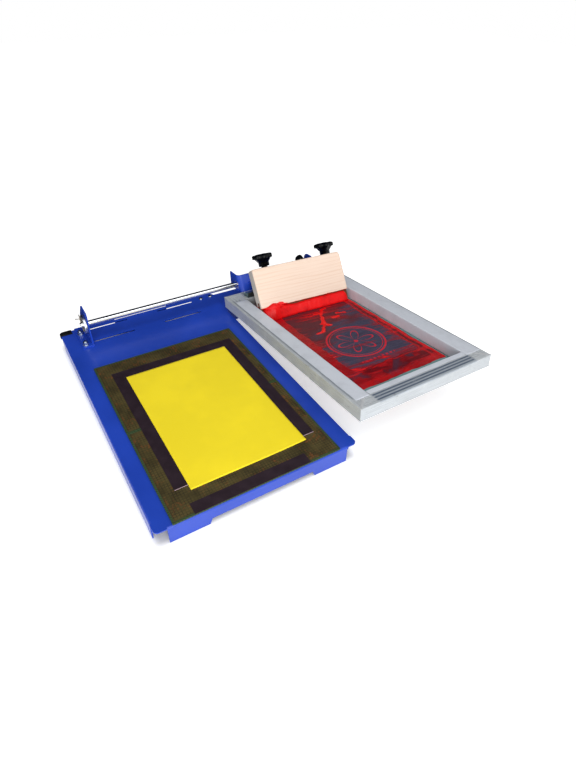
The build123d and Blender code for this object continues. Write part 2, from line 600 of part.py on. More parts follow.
def along_lock(shape):
    """Stand a piece modelled along +Z from the shaft axis along the lock screw."""
    x = lock_x()
    return Pos(x, SHAFT_Y, SHAFT_Z) * Rot(LOCK_ANGLE - 90, 0, 0) * shape


def sleeve_ends():
    """The sleeve runs between the two bushes."""
    left = CARRIAGE_LEFT + CARRIAGE_SHEET + BUSH_FLANGE + SLEEVE_END_GAP
    right = CARRIAGE_RIGHT - CARRIAGE_SHEET - BUSH_FLANGE - SLEEVE_END_GAP
    return left, right


def lock_x():
    """Middle of the lock collar."""
    return sleeve_ends()[1] - LOCK_COLLAR_FROM_END - LOCK_COLLAR_LENGTH / 2


def up_z(radius, z0, z1):
    """A round bar from z0 to z1 on the Z axis."""
    return Pos(0, 0, (z0 + z1) / 2) * Cylinder(radius, z1 - z0)


def make_slider():
    """The sleeve that slides on the shaft, its lock collar, shoe, screw and knob."""
    left, right = sleeve_ends()
    bore = rod_x(SHAFT_RADIUS + RUNNING_FIT, left - CUT, right + CUT)
    hole = along_lock(up_z(LOCK_SCREW_RADIUS + RUNNING_FIT, 0, LOCK_COLLAR_RADIUS + CUT))
    sleeve = rod_x(SLEEVE_RADIUS, left, right) - bore - hole
    PARTS["slide_sleeve"] = one_solid(sleeve)
    half = LOCK_COLLAR_LENGTH / 2
    collar = rod_x(LOCK_COLLAR_RADIUS, lock_x() - half, lock_x() + half)
    collar = fillet(collar.edges().filter_by(GeomType.CIRCLE), LOCK_COLLAR_EDGE)
    PARTS["lock_collar"] = one_solid(collar - rod_x(SLEEVE_RADIUS, left, right) - hole)
    shoe = up_z(LOCK_SCREW_RADIUS, SHAFT_RADIUS + RUNNING_FIT + LOCK_SHOE_GAP, LOCK_SHOE_END)
    PARTS["lock_shoe"] = one_solid(along_lock(shoe))
    stud = up_z(LOCK_SCREW_RADIUS, LOCK_SHOE_END, LOCK_KNOB_START + LOCK_STUD_IN_KNOB)
    PARTS["lock_stud"] = one_solid(along_lock(stud))
    knob_end = LOCK_KNOB_START + LOCK_KNOB_HEIGHT
    knob = up_z(LOCK_KNOB_RADIUS, LOCK_KNOB_START, knob_end)
    knob = fillet(knob.edges().filter_by(GeomType.CIRCLE), LOCK_KNOB_EDGE)
    for turn in range(LOCK_KNOB_FLUTES):
        angle = 2 * math.pi * turn / LOCK_KNOB_FLUTES
        place = Pos(LOCK_KNOB_RADIUS * math.cos(angle), LOCK_KNOB_RADIUS * math.sin(angle), 0)
        knob -= place * up_z(LOCK_KNOB_FLUTE_RADIUS, LOCK_KNOB_START - CUT, knob_end + CUT)
    knob -= up_z(LOCK_SCREW_RADIUS, LOCK_SHOE_END, LOCK_KNOB_START + LOCK_STUD_IN_KNOB)
    PARTS["lock_knob"] = one_solid(along_lock(knob))


# ================================================================ carriage and clamp
def wing_profile(inset=0.0):
    """Outline of the carriage along the shaft; inset moves its front inwards and its open sides outwards.

    The sloping part of the front has a run of SLOPE_RUN in Y for each step in Z, so a face that lies inset
    behind it is inset * hypot(1, SLOPE_RUN) further back at the same height.
    """
    shift = inset * math.hypot(1, SLOPE_RUN)
    rear = SHAFT_Y + WING_REAR + inset
    top = SHAFT_Z + WING_TOP + inset
    bottom = SHAFT_Z - WING_BOTTOM - inset
    low_front = SHAFT_Y - FRAME_REAR_SETBACK + inset
    return [
        (rear, bottom),
        (rear, top),
        (SHAFT_Y - WING_TOP_FRONT + shift + inset * SLOPE_RUN, top),
        (low_front, FRAME_TOP_Z - (shift - inset) / SLOPE_RUN),
        (low_front, bottom),
    ]


def bend_edges(shape):
    """The upright and sloping edges between the carriage's front and its wings."""
    limit = SHAFT_Y - WING_TOP_FRONT + CARRIAGE_SHEET
    return [e for e in shape.edges() if e.center().Y < limit
            and abs(e.tangent_at(0.5).X) < 0.01 and abs(e.tangent_at(0.5).Z) > 0.5]


def carriage_bracket():
    """One sheet folded to a U seen from above: a front face and two wings bent back."""
    gap = CARRIAGE_SHEET
    outer = prism_yz(wing_profile(), CARRIAGE_LEFT, CARRIAGE_RIGHT)
    outer = fillet(bend_edges(outer), CARRIAGE_BEND)
    inner = prism_yz(wing_profile(gap), CARRIAGE_LEFT + gap, CARRIAGE_RIGHT - gap)
    inner = fillet(bend_edges(inner), CARRIAGE_BEND - gap)
    bracket = outer - inner
    bracket -= rod_x(BUSH_RADIUS, CARRIAGE_LEFT - CUT, CARRIAGE_LEFT + gap + CUT)
    bracket -= rod_x(BUSH_RADIUS, CARRIAGE_RIGHT - gap - CUT, CARRIAGE_RIGHT + CUT)
    corner = bracket.edges().filter_by(Axis.X)
    corner = corner.filter_by_position(Axis.X, CARRIAGE_RIGHT - gap, CARRIAGE_RIGHT)
    corner = corner.filter_by_position(Axis.Y, SHAFT_Y + WING_REAR - CUT, SHAFT_Y + WING_REAR + CUT)
    bracket = fillet(corner.sort_by(Axis.Z)[-1], RIGHT_WING_ROUND)
    return one_solid(tilted(bracket))


def bush(wing_outer, side):
    """A bronze bush through a wing, flanged on its inner side; side is -1 on the left and 1 on the right."""
    wing_inner = wing_outer - side * CARRIAGE_SHEET
    end = wing_inner - side * BUSH_FLANGE
    flange = rod_x(BUSH_FLANGE_RADIUS, *sorted((wing_inner, end)))
    body = rod_x(BUSH_RADIUS, *sorted((wing_outer, end)))
    bore = rod_x(SHAFT_RADIUS + RUNNING_FIT, min(end, wing_outer) - CUT, max(end, wing_outer) + CUT)
    return one_solid(flange + body - bore)


def lower_jaw():
    """Angle below the carriage: a web behind the frame and a jaw under its rear rail."""
    front = SHAFT_Y - FRAME_REAR_SETBACK
    low = FRAME_BOTTOM_Z - JAW_THICKNESS
    profile = [
        (front - JAW_DEPTH, low),
        (front + CARRIAGE_SHEET, low),
        (front + CARRIAGE_SHEET, SHAFT_Z - WING_BOTTOM),
        (front, SHAFT_Z - WING_BOTTOM),
        (front, FRAME_BOTTOM_Z),
        (front - JAW_DEPTH, FRAME_BOTTOM_Z),
    ]
    return one_solid(tilted(prism_yz(profile, CARRIAGE_LEFT + CARRIAGE_BEND, CARRIAGE_RIGHT - CARRIAGE_BEND)))


def clamp_bridge():
    """The plate over the rear rail, threaded for the two screws and welded to the carriage's slope."""
    low = FRAME_TOP_Z + BRIDGE_SEAT
    left = LEFT_SCREW_X - BRIDGE_LEFT_MARGIN
    right = RIGHT_SCREW_X + BRIDGE_END_MARGIN
    plate = block((left, SCREW_Y - BRIDGE_LEAD, low), (right, SHAFT_Y, low + BRIDGE_THICKNESS))
    plate = fillet(plate.edges().filter_by(Axis.Z).group_by(Axis.Y)[0], BRIDGE_CORNER)
    for x in (LEFT_SCREW_X, RIGHT_SCREW_X):
        plate -= rod_z(SCREW_RADIUS + RUNNING_FIT, low - CUT, low + BRIDGE_THICKNESS + CUT, x, SCREW_Y)
    carriage = prism_yz(wing_profile(), CARRIAGE_LEFT, right + CUT)
    return one_solid(leant(plate) - tilted(carriage))


def pressure_bar():
    """The plated bar that the screws press on the rear rail; its top is square to the screws."""
    low = FRAME_TOP_Z + CLAMP_GAP
    front = FRAME_REAR_Y - PRESSURE_BAR_FRONT
    rear = front + PRESSURE_BAR_DEPTH
    rise = math.tan(math.radians(CLAMP_LEAN))
    middle = FRAME_TOP_Z + PRESSURE_BAR_THICKNESS
    profile = [
        (front, low),
        (front, middle + (SCREW_Y - front) * rise),
        (rear, middle + (SCREW_Y - rear) * rise),
        (rear, low),
    ]
    bar = prism_yz(profile, LEFT_SCREW_X - PRESSURE_BAR_LEFT_MARGIN,
                   RIGHT_SCREW_X + PRESSURE_BAR_RIGHT_MARGIN)
    bar = chamfer(bar.edges().filter_by(Axis.X).group_by(Axis.Z)[-1], PRESSURE_BAR_CHAMFER)
    bar = tilted(bar)
    top = FRAME_TOP_Z + BAR_SEAT
    for x in (LEFT_SCREW_X, RIGHT_SCREW_X):
        bar -= leant(rod_z(SCREW_RADIUS + SCREW_SOCKET_FIT, top - SCREW_SOCKET_DEPTH, top + CUT, x, SCREW_Y))
    return one_solid(bar)


def clamp_screw(x, knob_base):
    """A threaded rod from its socket in the pressure bar up into its knob."""
    low = FRAME_TOP_Z + BAR_SEAT - SCREW_SOCKET_DEPTH + CLAMP_GAP
    high = FRAME_TOP_Z + knob_base + SCREW_IN_KNOB
    screw = rod_z(SCREW_RADIUS, low, high, x, SCREW_Y)
    screw = chamfer(screw.edges().filter_by(GeomType.CIRCLE).sort_by(Axis.Z)[0], SCREW_CHAMFER)
    return one_solid(leant(screw))


def star_knob(x, knob_base):
    """A lobed knob with a stepped, tapering hub."""
    neck_top = KNOB_NECK_HEIGHT
    hub_top = neck_top + KNOB_HUB_HEIGHT
    shoulder_top = hub_top + KNOB_SHOULDER_HEIGHT
    outline = Circle(KNOB_CORE_RADIUS)
    for lobe in range(KNOB_LOBES):
        angle = 2 * math.pi * lobe / KNOB_LOBES
        place = Pos(KNOB_LOBE_CIRCLE * math.cos(angle), KNOB_LOBE_CIRCLE * math.sin(angle))
        outline += place * Circle(KNOB_LOBE_RADIUS)
    head = Pos(0, 0, shoulder_top) * extrude(outline, amount=KNOB_HEAD_HEIGHT)
    head = fillet(head.edges().group_by(Axis.Z)[-1], KNOB_EDGE)
    shoulder = Cone(KNOB_SHOULDER_RADIUS, KNOB_SHOULDER_TOP, KNOB_SHOULDER_HEIGHT)
    shoulder = Pos(0, 0, (hub_top + shoulder_top) / 2) * shoulder
    hub = up_z(KNOB_HUB_RADIUS, neck_top, hub_top)
    neck = up_z(KNOB_NECK_RADIUS, 0, neck_top)
    knob = head + shoulder + hub + neck - up_z(SCREW_RADIUS, -CUT, SCREW_IN_KNOB)
    return one_solid(leant(Pos(x, SCREW_Y, FRAME_TOP_Z + knob_base) * knob))


def make_carriage():
    """Carriage, bushes, jaw, bridge, pressure bar and the two knob screws."""
    PARTS["carriage_bracket"] = carriage_bracket()
    PARTS["left_bush"] = bush(CARRIAGE_LEFT, -1)
    PARTS["right_bush"] = bush(CARRIAGE_RIGHT, 1)
    PARTS["lower_jaw"] = lower_jaw()
    PARTS["clamp_bridge"] = clamp_bridge()
    PARTS["pressure_bar"] = pressure_bar()
    PARTS["left_clamp_screw"] = clamp_screw(LEFT_SCREW_X, LEFT_KNOB_BASE)
    PARTS["right_clamp_screw"] = clamp_screw(RIGHT_SCREW_X, RIGHT_KNOB_BASE)
    PARTS["left_star_knob"] = star_knob(LEFT_SCREW_X, LEFT_KNOB_BASE)
    PARTS["right_star_knob"] = star_knob(RIGHT_SCREW_X, RIGHT_KNOB_BASE)


# ================================================================ screen
def rail(length):
    """A mitred hollow rail along local X, outer face at y = 0 and its top at z = 0."""
    section = [(0, -RAIL_HEIGHT), (0, 0)]
    for groove in RAIL_GROOVES:
        half = GROOVE_WIDTH / 2
        section += [(groove - half, 0), (groove - half, -GROOVE_DEPTH)]
        section += [(groove + half, -GROOVE_DEPTH), (groove + half, 0)]
    section += [(RAIL_WIDTH, 0), (RAIL_WIDTH, -RAIL_HEIGHT)]
    solid = prism_yz(section, 0, length)
    solid -= block((-CUT, RAIL_WALL, RAIL_WALL - RAIL_HEIGHT),
                   (length + CUT, RAIL_WIDTH - RAIL_WALL, -RAIL_WALL - GROOVE_DEPTH))
    plan = Polyline((0, 0), (length, 0), (length - RAIL_WIDTH, RAIL_WIDTH), (RAIL_WIDTH, RAIL_WIDTH),
                    close=True)
    wedge = Pos(0, 0, -RAIL_HEIGHT - CUT) * extrude(make_face(plan), amount=RAIL_HEIGHT + 2 * CUT)
    return solid & wedge


def make_screen():
    """Four mitred rails, the mesh glued under them and the tape along their inner edges."""
    right = FRAME_LEFT + FRAME_WIDTH
    places = {
        "front_rail": Pos(FRAME_LEFT, FRAME_FRONT_Y, FRAME_TOP_Z) * rail(FRAME_WIDTH),
        "rear_rail": Pos(right, FRAME_REAR_Y, FRAME_TOP_Z) * Rot(0, 0, 180) * rail(FRAME_WIDTH),
        "left_rail": Pos(FRAME_LEFT, FRAME_REAR_Y, FRAME_TOP_Z) * Rot(0, 0, -90) * rail(FRAME_LENGTH),
        "right_rail": Pos(right, FRAME_FRONT_Y, FRAME_TOP_Z) * Rot(0, 0, 90) * rail(FRAME_LENGTH),
    }
    for name, shape in places.items():
        PARTS[name] = one_solid(tilted(shape))
    mesh = block((FRAME_LEFT + MESH_MARGIN, FRAME_FRONT_Y + MESH_MARGIN, FRAME_BOTTOM_Z - MESH_THICKNESS),
                 (right - MESH_MARGIN, FRAME_REAR_Y - MESH_MARGIN, FRAME_BOTTOM_Z))
    PARTS["screen_mesh"] = one_solid(tilted(mesh))
    front = FRAME_FRONT_Y + SIDE_TAPE_FRONT
    rear = FRAME_REAR_Y - SIDE_TAPE_REAR
    thick = TAPE_THICKNESS
    inner_left = FRAME_LEFT + RAIL_WIDTH
    inner_right = right - RAIL_WIDTH
    left_tape = block((FRAME_LEFT + SIDE_TAPE_LEFT_START, front, FRAME_TOP_Z),
                      (inner_left, rear, FRAME_TOP_Z + thick))
    right_tape = block((inner_right, front, FRAME_TOP_Z),
                       (right - SIDE_TAPE_RIGHT_START, rear, FRAME_TOP_Z + thick))
    wall_front = FRAME_FRONT_Y + RAIL_WIDTH
    wall_rear = FRAME_REAR_Y - RAIL_WIDTH
    left_wall = block((inner_left, wall_front, FRAME_BOTTOM_Z),
                      (inner_left + thick, wall_rear, FRAME_TOP_Z + thick))
    right_wall = block((inner_right - thick, wall_front, FRAME_BOTTOM_Z),
                       (inner_right, wall_rear, FRAME_TOP_Z + thick))
    PARTS["left_tape"] = one_solid(tilted(left_tape + left_wall))
    PARTS["right_tape"] = one_solid(tilted(right_tape + right_wall))
    middle = (FRAME_LEFT + right) / 2
    front_tape = block((middle - FRONT_TAPE_LENGTH / 2, FRAME_FRONT_Y + FRONT_TAPE_START, FRAME_TOP_Z),
                       (middle + FRONT_TAPE_LENGTH / 2, wall_front, FRAME_TOP_Z + thick))
    side_left = FRAME_LEFT + SIDE_TAPE_LEFT_START
    side_right = right - SIDE_TAPE_RIGHT_START
    clear = block((side_left, front, FRAME_TOP_Z - CUT), (inner_left, rear, FRAME_TOP_Z + CUT))
    clear += block((inner_right, front, FRAME_TOP_Z - CUT), (side_right, rear, FRAME_TOP_Z + CUT))
    PARTS["front_tape"] = one_solid(tilted(front_tape - clear))


# ================================================================ squeegee
def place_squeegee(shape):
    """Stand a piece modelled with the front lower edge of the handle on local X into the screen."""
    place = Pos(FRAME_LEFT + SQUEEGEE_LEFT, FRAME_REAR_Y - SQUEEGEE_FROM_REAR, handle_low())
    return tilted(place * Rot(0, 0, -SQUEEGEE_TURN) * Rot(-SQUEEGEE_LEAN, 0, 0) * shape)


def handle_low():
    """Height of the handle's front lower edge, so that the blade's lowest corner clears the mesh."""
    lean = math.radians(SQUEEGEE_LEAN)
    rear_corner = (BLADE_SET_BACK + BLADE_THICKNESS) * math.sin(lean)
    lowest = BLADE_FREE * math.cos(lean) + rear_corner
    return FRAME_BOTTOM_Z + BLADE_ABOVE_MESH + lowest


def make_squeegee():
    """A wooden handle with a rubber blade let into its lower edge."""
    handle = block((0, 0, 0), (SQUEEGEE_WIDTH, SQUEEGEE_THICKNESS, SQUEEGEE_HEIGHT))
    corners = handle.edges().filter_by(Axis.Y).group_by(Axis.Z)[-1].sort_by(Axis.X)
    handle = fillet(corners[-1], SQUEEGEE_RIGHT_ROUND)
    corners = handle.edges().filter_by(Axis.Y).group_by(Axis.X)[0].sort_by(Axis.Z)
    handle = fillet(corners[-1], SQUEEGEE_LEFT_ROUND)
    long_edges = handle.edges().filter_by(Axis.X).group_by(Axis.Z)[-1]
    handle = fillet(long_edges, SQUEEGEE_TOP_ROUND)
    slot = block((-CUT, BLADE_SET_BACK, -CUT),
                 (SQUEEGEE_WIDTH + CUT, BLADE_SET_BACK + BLADE_THICKNESS, BLADE_EMBEDDED))
    blade = block((0, BLADE_SET_BACK, -BLADE_FREE),
                  (SQUEEGEE_WIDTH, BLADE_SET_BACK + BLADE_THICKNESS, BLADE_EMBEDDED))
    PARTS["squeegee_handle"] = one_solid(place_squeegee(handle - slot))
    PARTS["squeegee_blade"] = one_solid(place_squeegee(blade))


def main():
    """Build every piece, set the origin under the middle of the whole press and write the files."""
    PARTS["bed_plate"] = bed_plate()
    PARTS["extension_arm"] = extension_arm()
    PARTS["arm_screws"] = arm_screws()
    PARTS["corner_cap"] = corner_cap()
    make_mats()
    make_shaft()
    make_fasteners()
    make_slider()
    make_carriage()
    make_screen()
    make_squeegee()
    boxes = [shape.bounding_box() for shape in PARTS.values()]
    middle_x = (min(b.min.X for b in boxes) + max(b.max.X for b in boxes)) / 2
    middle_y = (min(b.min.Y for b in boxes) + max(b.max.Y for b in boxes)) / 2
    os.makedirs("parts", exist_ok=True)
    for name, shape in PARTS.items():
        export_step(Pos(-middle_x, -middle_y, 0) * shape, f"parts/{name}.step")
    print(f"origin: bed corner at {-middle_x:.3f}, {-middle_y:.3f}")
    print(f"lowest point {min(b.min.Z for b in boxes):.3f}, highest {max(b.max.Z for b in boxes):.3f}")


main()
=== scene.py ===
"""Looks of a tabletop screen printing press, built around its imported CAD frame.

Metres, in the frame's own axes: +X along the shaft, +Y from the operator's edge to the shaft, +Z up.
The screen lies in its own plane, in (u, v, h): u from its left side, v from its rear, h above its rails.
"""

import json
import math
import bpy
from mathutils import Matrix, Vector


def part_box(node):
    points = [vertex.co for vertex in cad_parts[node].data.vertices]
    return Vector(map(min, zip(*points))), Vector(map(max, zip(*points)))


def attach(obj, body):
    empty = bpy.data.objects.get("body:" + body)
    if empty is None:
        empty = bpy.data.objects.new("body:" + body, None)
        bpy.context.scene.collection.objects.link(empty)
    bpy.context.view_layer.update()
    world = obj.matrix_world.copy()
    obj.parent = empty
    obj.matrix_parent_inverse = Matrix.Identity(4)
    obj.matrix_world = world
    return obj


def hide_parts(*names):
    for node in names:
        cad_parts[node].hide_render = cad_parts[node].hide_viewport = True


bl_info = {
    "name": "Screen Printing Press",
    "version": (1, 0, 0),
    "blender": (4, 5, 0),
    "location": "View3D > Sidebar > Press",
    "description": "Dresses the frame of a tabletop screen printing press",
    "category": "Add Mesh",
}

import bmesh
import bpy
import numpy as np
from bpy.props import FloatProperty, FloatVectorProperty, IntProperty, PointerProperty
from mathutils import Matrix, Vector

MM = 0.001
NEAR = 0.002 * MM               # points closer than this are one
FLAT = math.radians(0.5)        # faces that turn by less than this are one
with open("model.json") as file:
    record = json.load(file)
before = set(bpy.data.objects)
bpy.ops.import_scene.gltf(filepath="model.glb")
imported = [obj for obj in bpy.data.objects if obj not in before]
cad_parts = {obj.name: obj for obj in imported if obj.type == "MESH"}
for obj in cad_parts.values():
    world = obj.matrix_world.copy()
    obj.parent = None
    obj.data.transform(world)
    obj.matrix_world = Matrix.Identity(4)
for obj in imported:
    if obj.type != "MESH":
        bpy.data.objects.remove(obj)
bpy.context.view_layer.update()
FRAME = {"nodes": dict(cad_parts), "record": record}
JOINTS = {joint["name"]: joint for joint in FRAME["record"]["behaviour"]["joints"]}


# ---------------------------------------------------------------- places read from the frame
def corner(node, which):
    """Lowest (0) or highest (1) corner of a CAD node, as an array."""
    return np.array(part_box(node)[which])


def screen_basis():
    """Origin, axes and sizes of the tilted screen, worked out from the boxes of its rails and its joints.

    A rail of width w and height k, tilted by t, has a box of w cos t + k sin t by k cos t + w sin t.
    """
    forward = np.array(JOINTS["squeegee_stroke"]["axis"], float)
    normal = np.cross(forward, [1.0, 0.0, 0.0])
    cos_t, sin_t = normal[2], abs(normal[1])
    low, high = corner("rear_rail", 0), corner("rear_rail", 1)
    deep, tall = (high - low)[1:]
    height = (tall * cos_t - deep * sin_t) / (cos_t ** 2 - sin_t ** 2)
    rail = (deep * cos_t - tall * sin_t) / (cos_t ** 2 - sin_t ** 2)
    side_low, side_high = corner("left_rail", 0), corner("left_rail", 1)
    length = ((side_high - side_low)[1] - height * sin_t) / cos_t
    origin = np.array([low[0], high[1], low[2] + height * cos_t])
    return origin, forward, normal, high[0] - low[0], length, rail, height


ORIGIN, FORWARD, NORMAL, SCREEN_W, SCREEN_L, RAIL_W, RAIL_H = screen_basis()
ACROSS = np.array([1.0, 0.0, 0.0])
CLAMP_AXIS = np.array(JOINTS["clamp_slide"]["axis"], float)
TILT = math.atan2(abs(NORMAL[1]), NORMAL[2])
BED_LOW, BED_HIGH = corner("bed_plate", 0), corner("bed_plate", 1)
SHAFT_LOW, SHAFT_HIGH = corner("slide_shaft", 0), corner("slide_shaft", 1)


def on_screen(u, v, h):
    """Points of the row frame for screen coordinates; u, v and h are numbers or arrays."""
    u, v, h = np.broadcast_arrays(np.asarray(u, float), np.asarray(v, float), np.asarray(h, float))
    return ORIGIN + u[..., None] * ACROSS + v[..., None] * FORWARD + h[..., None] * NORMAL


# ---------------------------------------------------------------- colours
def tone(red, green, blue):
    """Linear colour of a 0 to 255 screen colour."""
    raw = np.array([red, green, blue]) / 255.0
    linear = np.where(raw <= 0.04045, raw / 12.92, ((raw + 0.055) / 1.055) ** 2.4)
    return (*map(float, linear), 1.0)


def shaded(colour, factor, lift=0.0):
    """A colour made darker or lighter by a factor, plus a small lift."""
    return (*(min(1.0, c * factor + lift) for c in colour[:3]), 1.0)


def colour_prop(name, description, red, green, blue):
    """A colour that a user may change."""
    return FloatVectorProperty(name=name, description=description, subtype="COLOR", size=4, min=0.0, max=1.0,
                               default=tone(red, green, blue))


def length_prop(name, description, millimetres):
    """A length that a user may change."""
    return FloatProperty(name=name, description=description, unit="LENGTH", min=0.0, default=millimetres * MM)


# ---------------------------------------------------------------- settings
class PressStage(bpy.types.PropertyGroup):
    """Floor, lights and camera."""
    floor: colour_prop("Floor", "Colour of the floor", 250, 250, 250)
    glow: FloatProperty(name="Glow", description="White that the camera sees on the floor beside its light",
                        default=0.5, min=0)
    sky: FloatProperty(name="Sky", description="Strength of the white surround on the object", default=0.42,
                       min=0)
    front_power: FloatProperty(name="Front lamp", description="Power of the low front softbox", default=46.0,
                               min=0, unit="POWER")
    top_power: FloatProperty(name="Top lamp", description="Power of the overhead softbox", default=13.0,
                             min=0, unit="POWER")
    lens: FloatProperty(name="Lens", description="Focal length on a 36 mm sensor", default=24.03, min=1)


class PressPaint(bpy.types.PropertyGroup):
    """Powder coated sheet metal."""
    blue: colour_prop("Blue", "Powder coat", 26, 66, 182)
    edge: length_prop("Edge round", "Radius that the coat gives to cut edges", 0.5)


class PressMetal(bpy.types.PropertyGroup):
    """Bare metals."""
    chrome: colour_prop("Chrome", "Polished shaft", 225, 228, 232)
    zinc: colour_prop("Zinc", "Plated screws, nuts and washers", 205, 214, 220)
    bar: colour_prop("Plated bar", "Dull plate of the pressure bar", 128, 152, 156)
    steel: colour_prop("Turned steel", "Collars and sleeve", 214, 218, 224)
    bronze: colour_prop("Bronze", "Bushes and shoe", 196, 150, 92)
    coarse_pitch: length_prop("Clamp screw pitch", "Pitch of the two clamp screws", 1.25)
    fine_pitch: length_prop("Bolt pitch", "Pitch of the bracket bolts", 1.0)


class PressMats(bpy.types.PropertyGroup):
    """Cutting mats, strips and stock."""
    mat: colour_prop("Mat", "Vinyl of the cutting mats", 40, 58, 30)
    cell: colour_prop("Cells", "Olive of the printed field", 82, 72, 40)
    line: colour_prop("Lines", "Dark lines between the cells", 26, 25, 18)
    speck: colour_prop("Specks", "Orange of the printed marks", 128, 74, 36)
    pitch: length_prop("Grid pitch", "Distance of the mat's lines", 5.0)
    strip: colour_prop("Strips", "Dark film of the register strips", 46, 34, 42)
    card: colour_prop("Stock", "Yellow card", 250, 226, 30)
    curl: length_prop("Curl", "Lift of the card's front right corner", 2.0)


class PressScreen(bpy.types.PropertyGroup):
    """Aluminium frame, tape, mesh and ink."""
    aluminium: colour_prop("Aluminium", "Extruded rails", 190, 195, 199)
    tape: colour_prop("Tape", "Pale tape on the rails", 202, 207, 216)
    emulsion: colour_prop("Emulsion", "Dried stencil emulsion", 70, 68, 90)
    bare_mesh: colour_prop("Bare mesh", "Mesh outside of the stencil", 112, 150, 150)
    ink: colour_prop("Ink", "Wet red ink", 232, 16, 18)
    dark_ink: colour_prop("Dark ink", "Thick ink in shade", 96, 8, 18)
    bead: length_prop("Bead", "Reach of the roll of ink before the blade", 8.5)


class PressHandles(bpy.types.PropertyGroup):
    """Knobs and squeegee."""
    plastic: colour_prop("Knob", "Moulded black plastic", 7, 9, 11)
    lobes: IntProperty(name="Lobes", description="Lobes of a star knob", default=7, min=3)
    wood: colour_prop("Pine", "Planed wood", 234, 211, 193)
    grain: colour_prop("Grain", "Late wood of the pine", 216, 178, 146)
    rubber: colour_prop("Blade", "Squeegee rubber", 104, 58, 34)


SETTINGS = {"stage": PressStage, "paint": PressPaint, "metal": PressMetal, "mats": PressMats,
            "screen": PressScreen, "handles": PressHandles}


def setting(name):
    """One group of settings on the scene."""
    return getattr(bpy.context.scene, "press_" + name)


# ---------------------------------------------------------------- node graphs
class Value:
    """A socket that takes arithmetic: a + b, a - b, a * b and abs(a) each add one node to its finish."""

    __array_ufunc__ = None      # so that a numpy number leaves the arithmetic to this class

    def __init__(self, finish, socket):
        self.finish = finish
        self.socket = socket

    def __add__(self, other):
        return self.finish.compute("ADD", self, other)

    def __sub__(self, other):
        return self.finish.compute("SUBTRACT", self, other)

    def __rsub__(self, other):
        return self.finish.compute("SUBTRACT", other, self)

    def __mul__(self, other):
        return self.finish.compute("MULTIPLY", self, other)

    def __abs__(self):
        return self.finish.compute("ABSOLUTE", self)

    __radd__ = __add__
    __rmul__ = __mul__


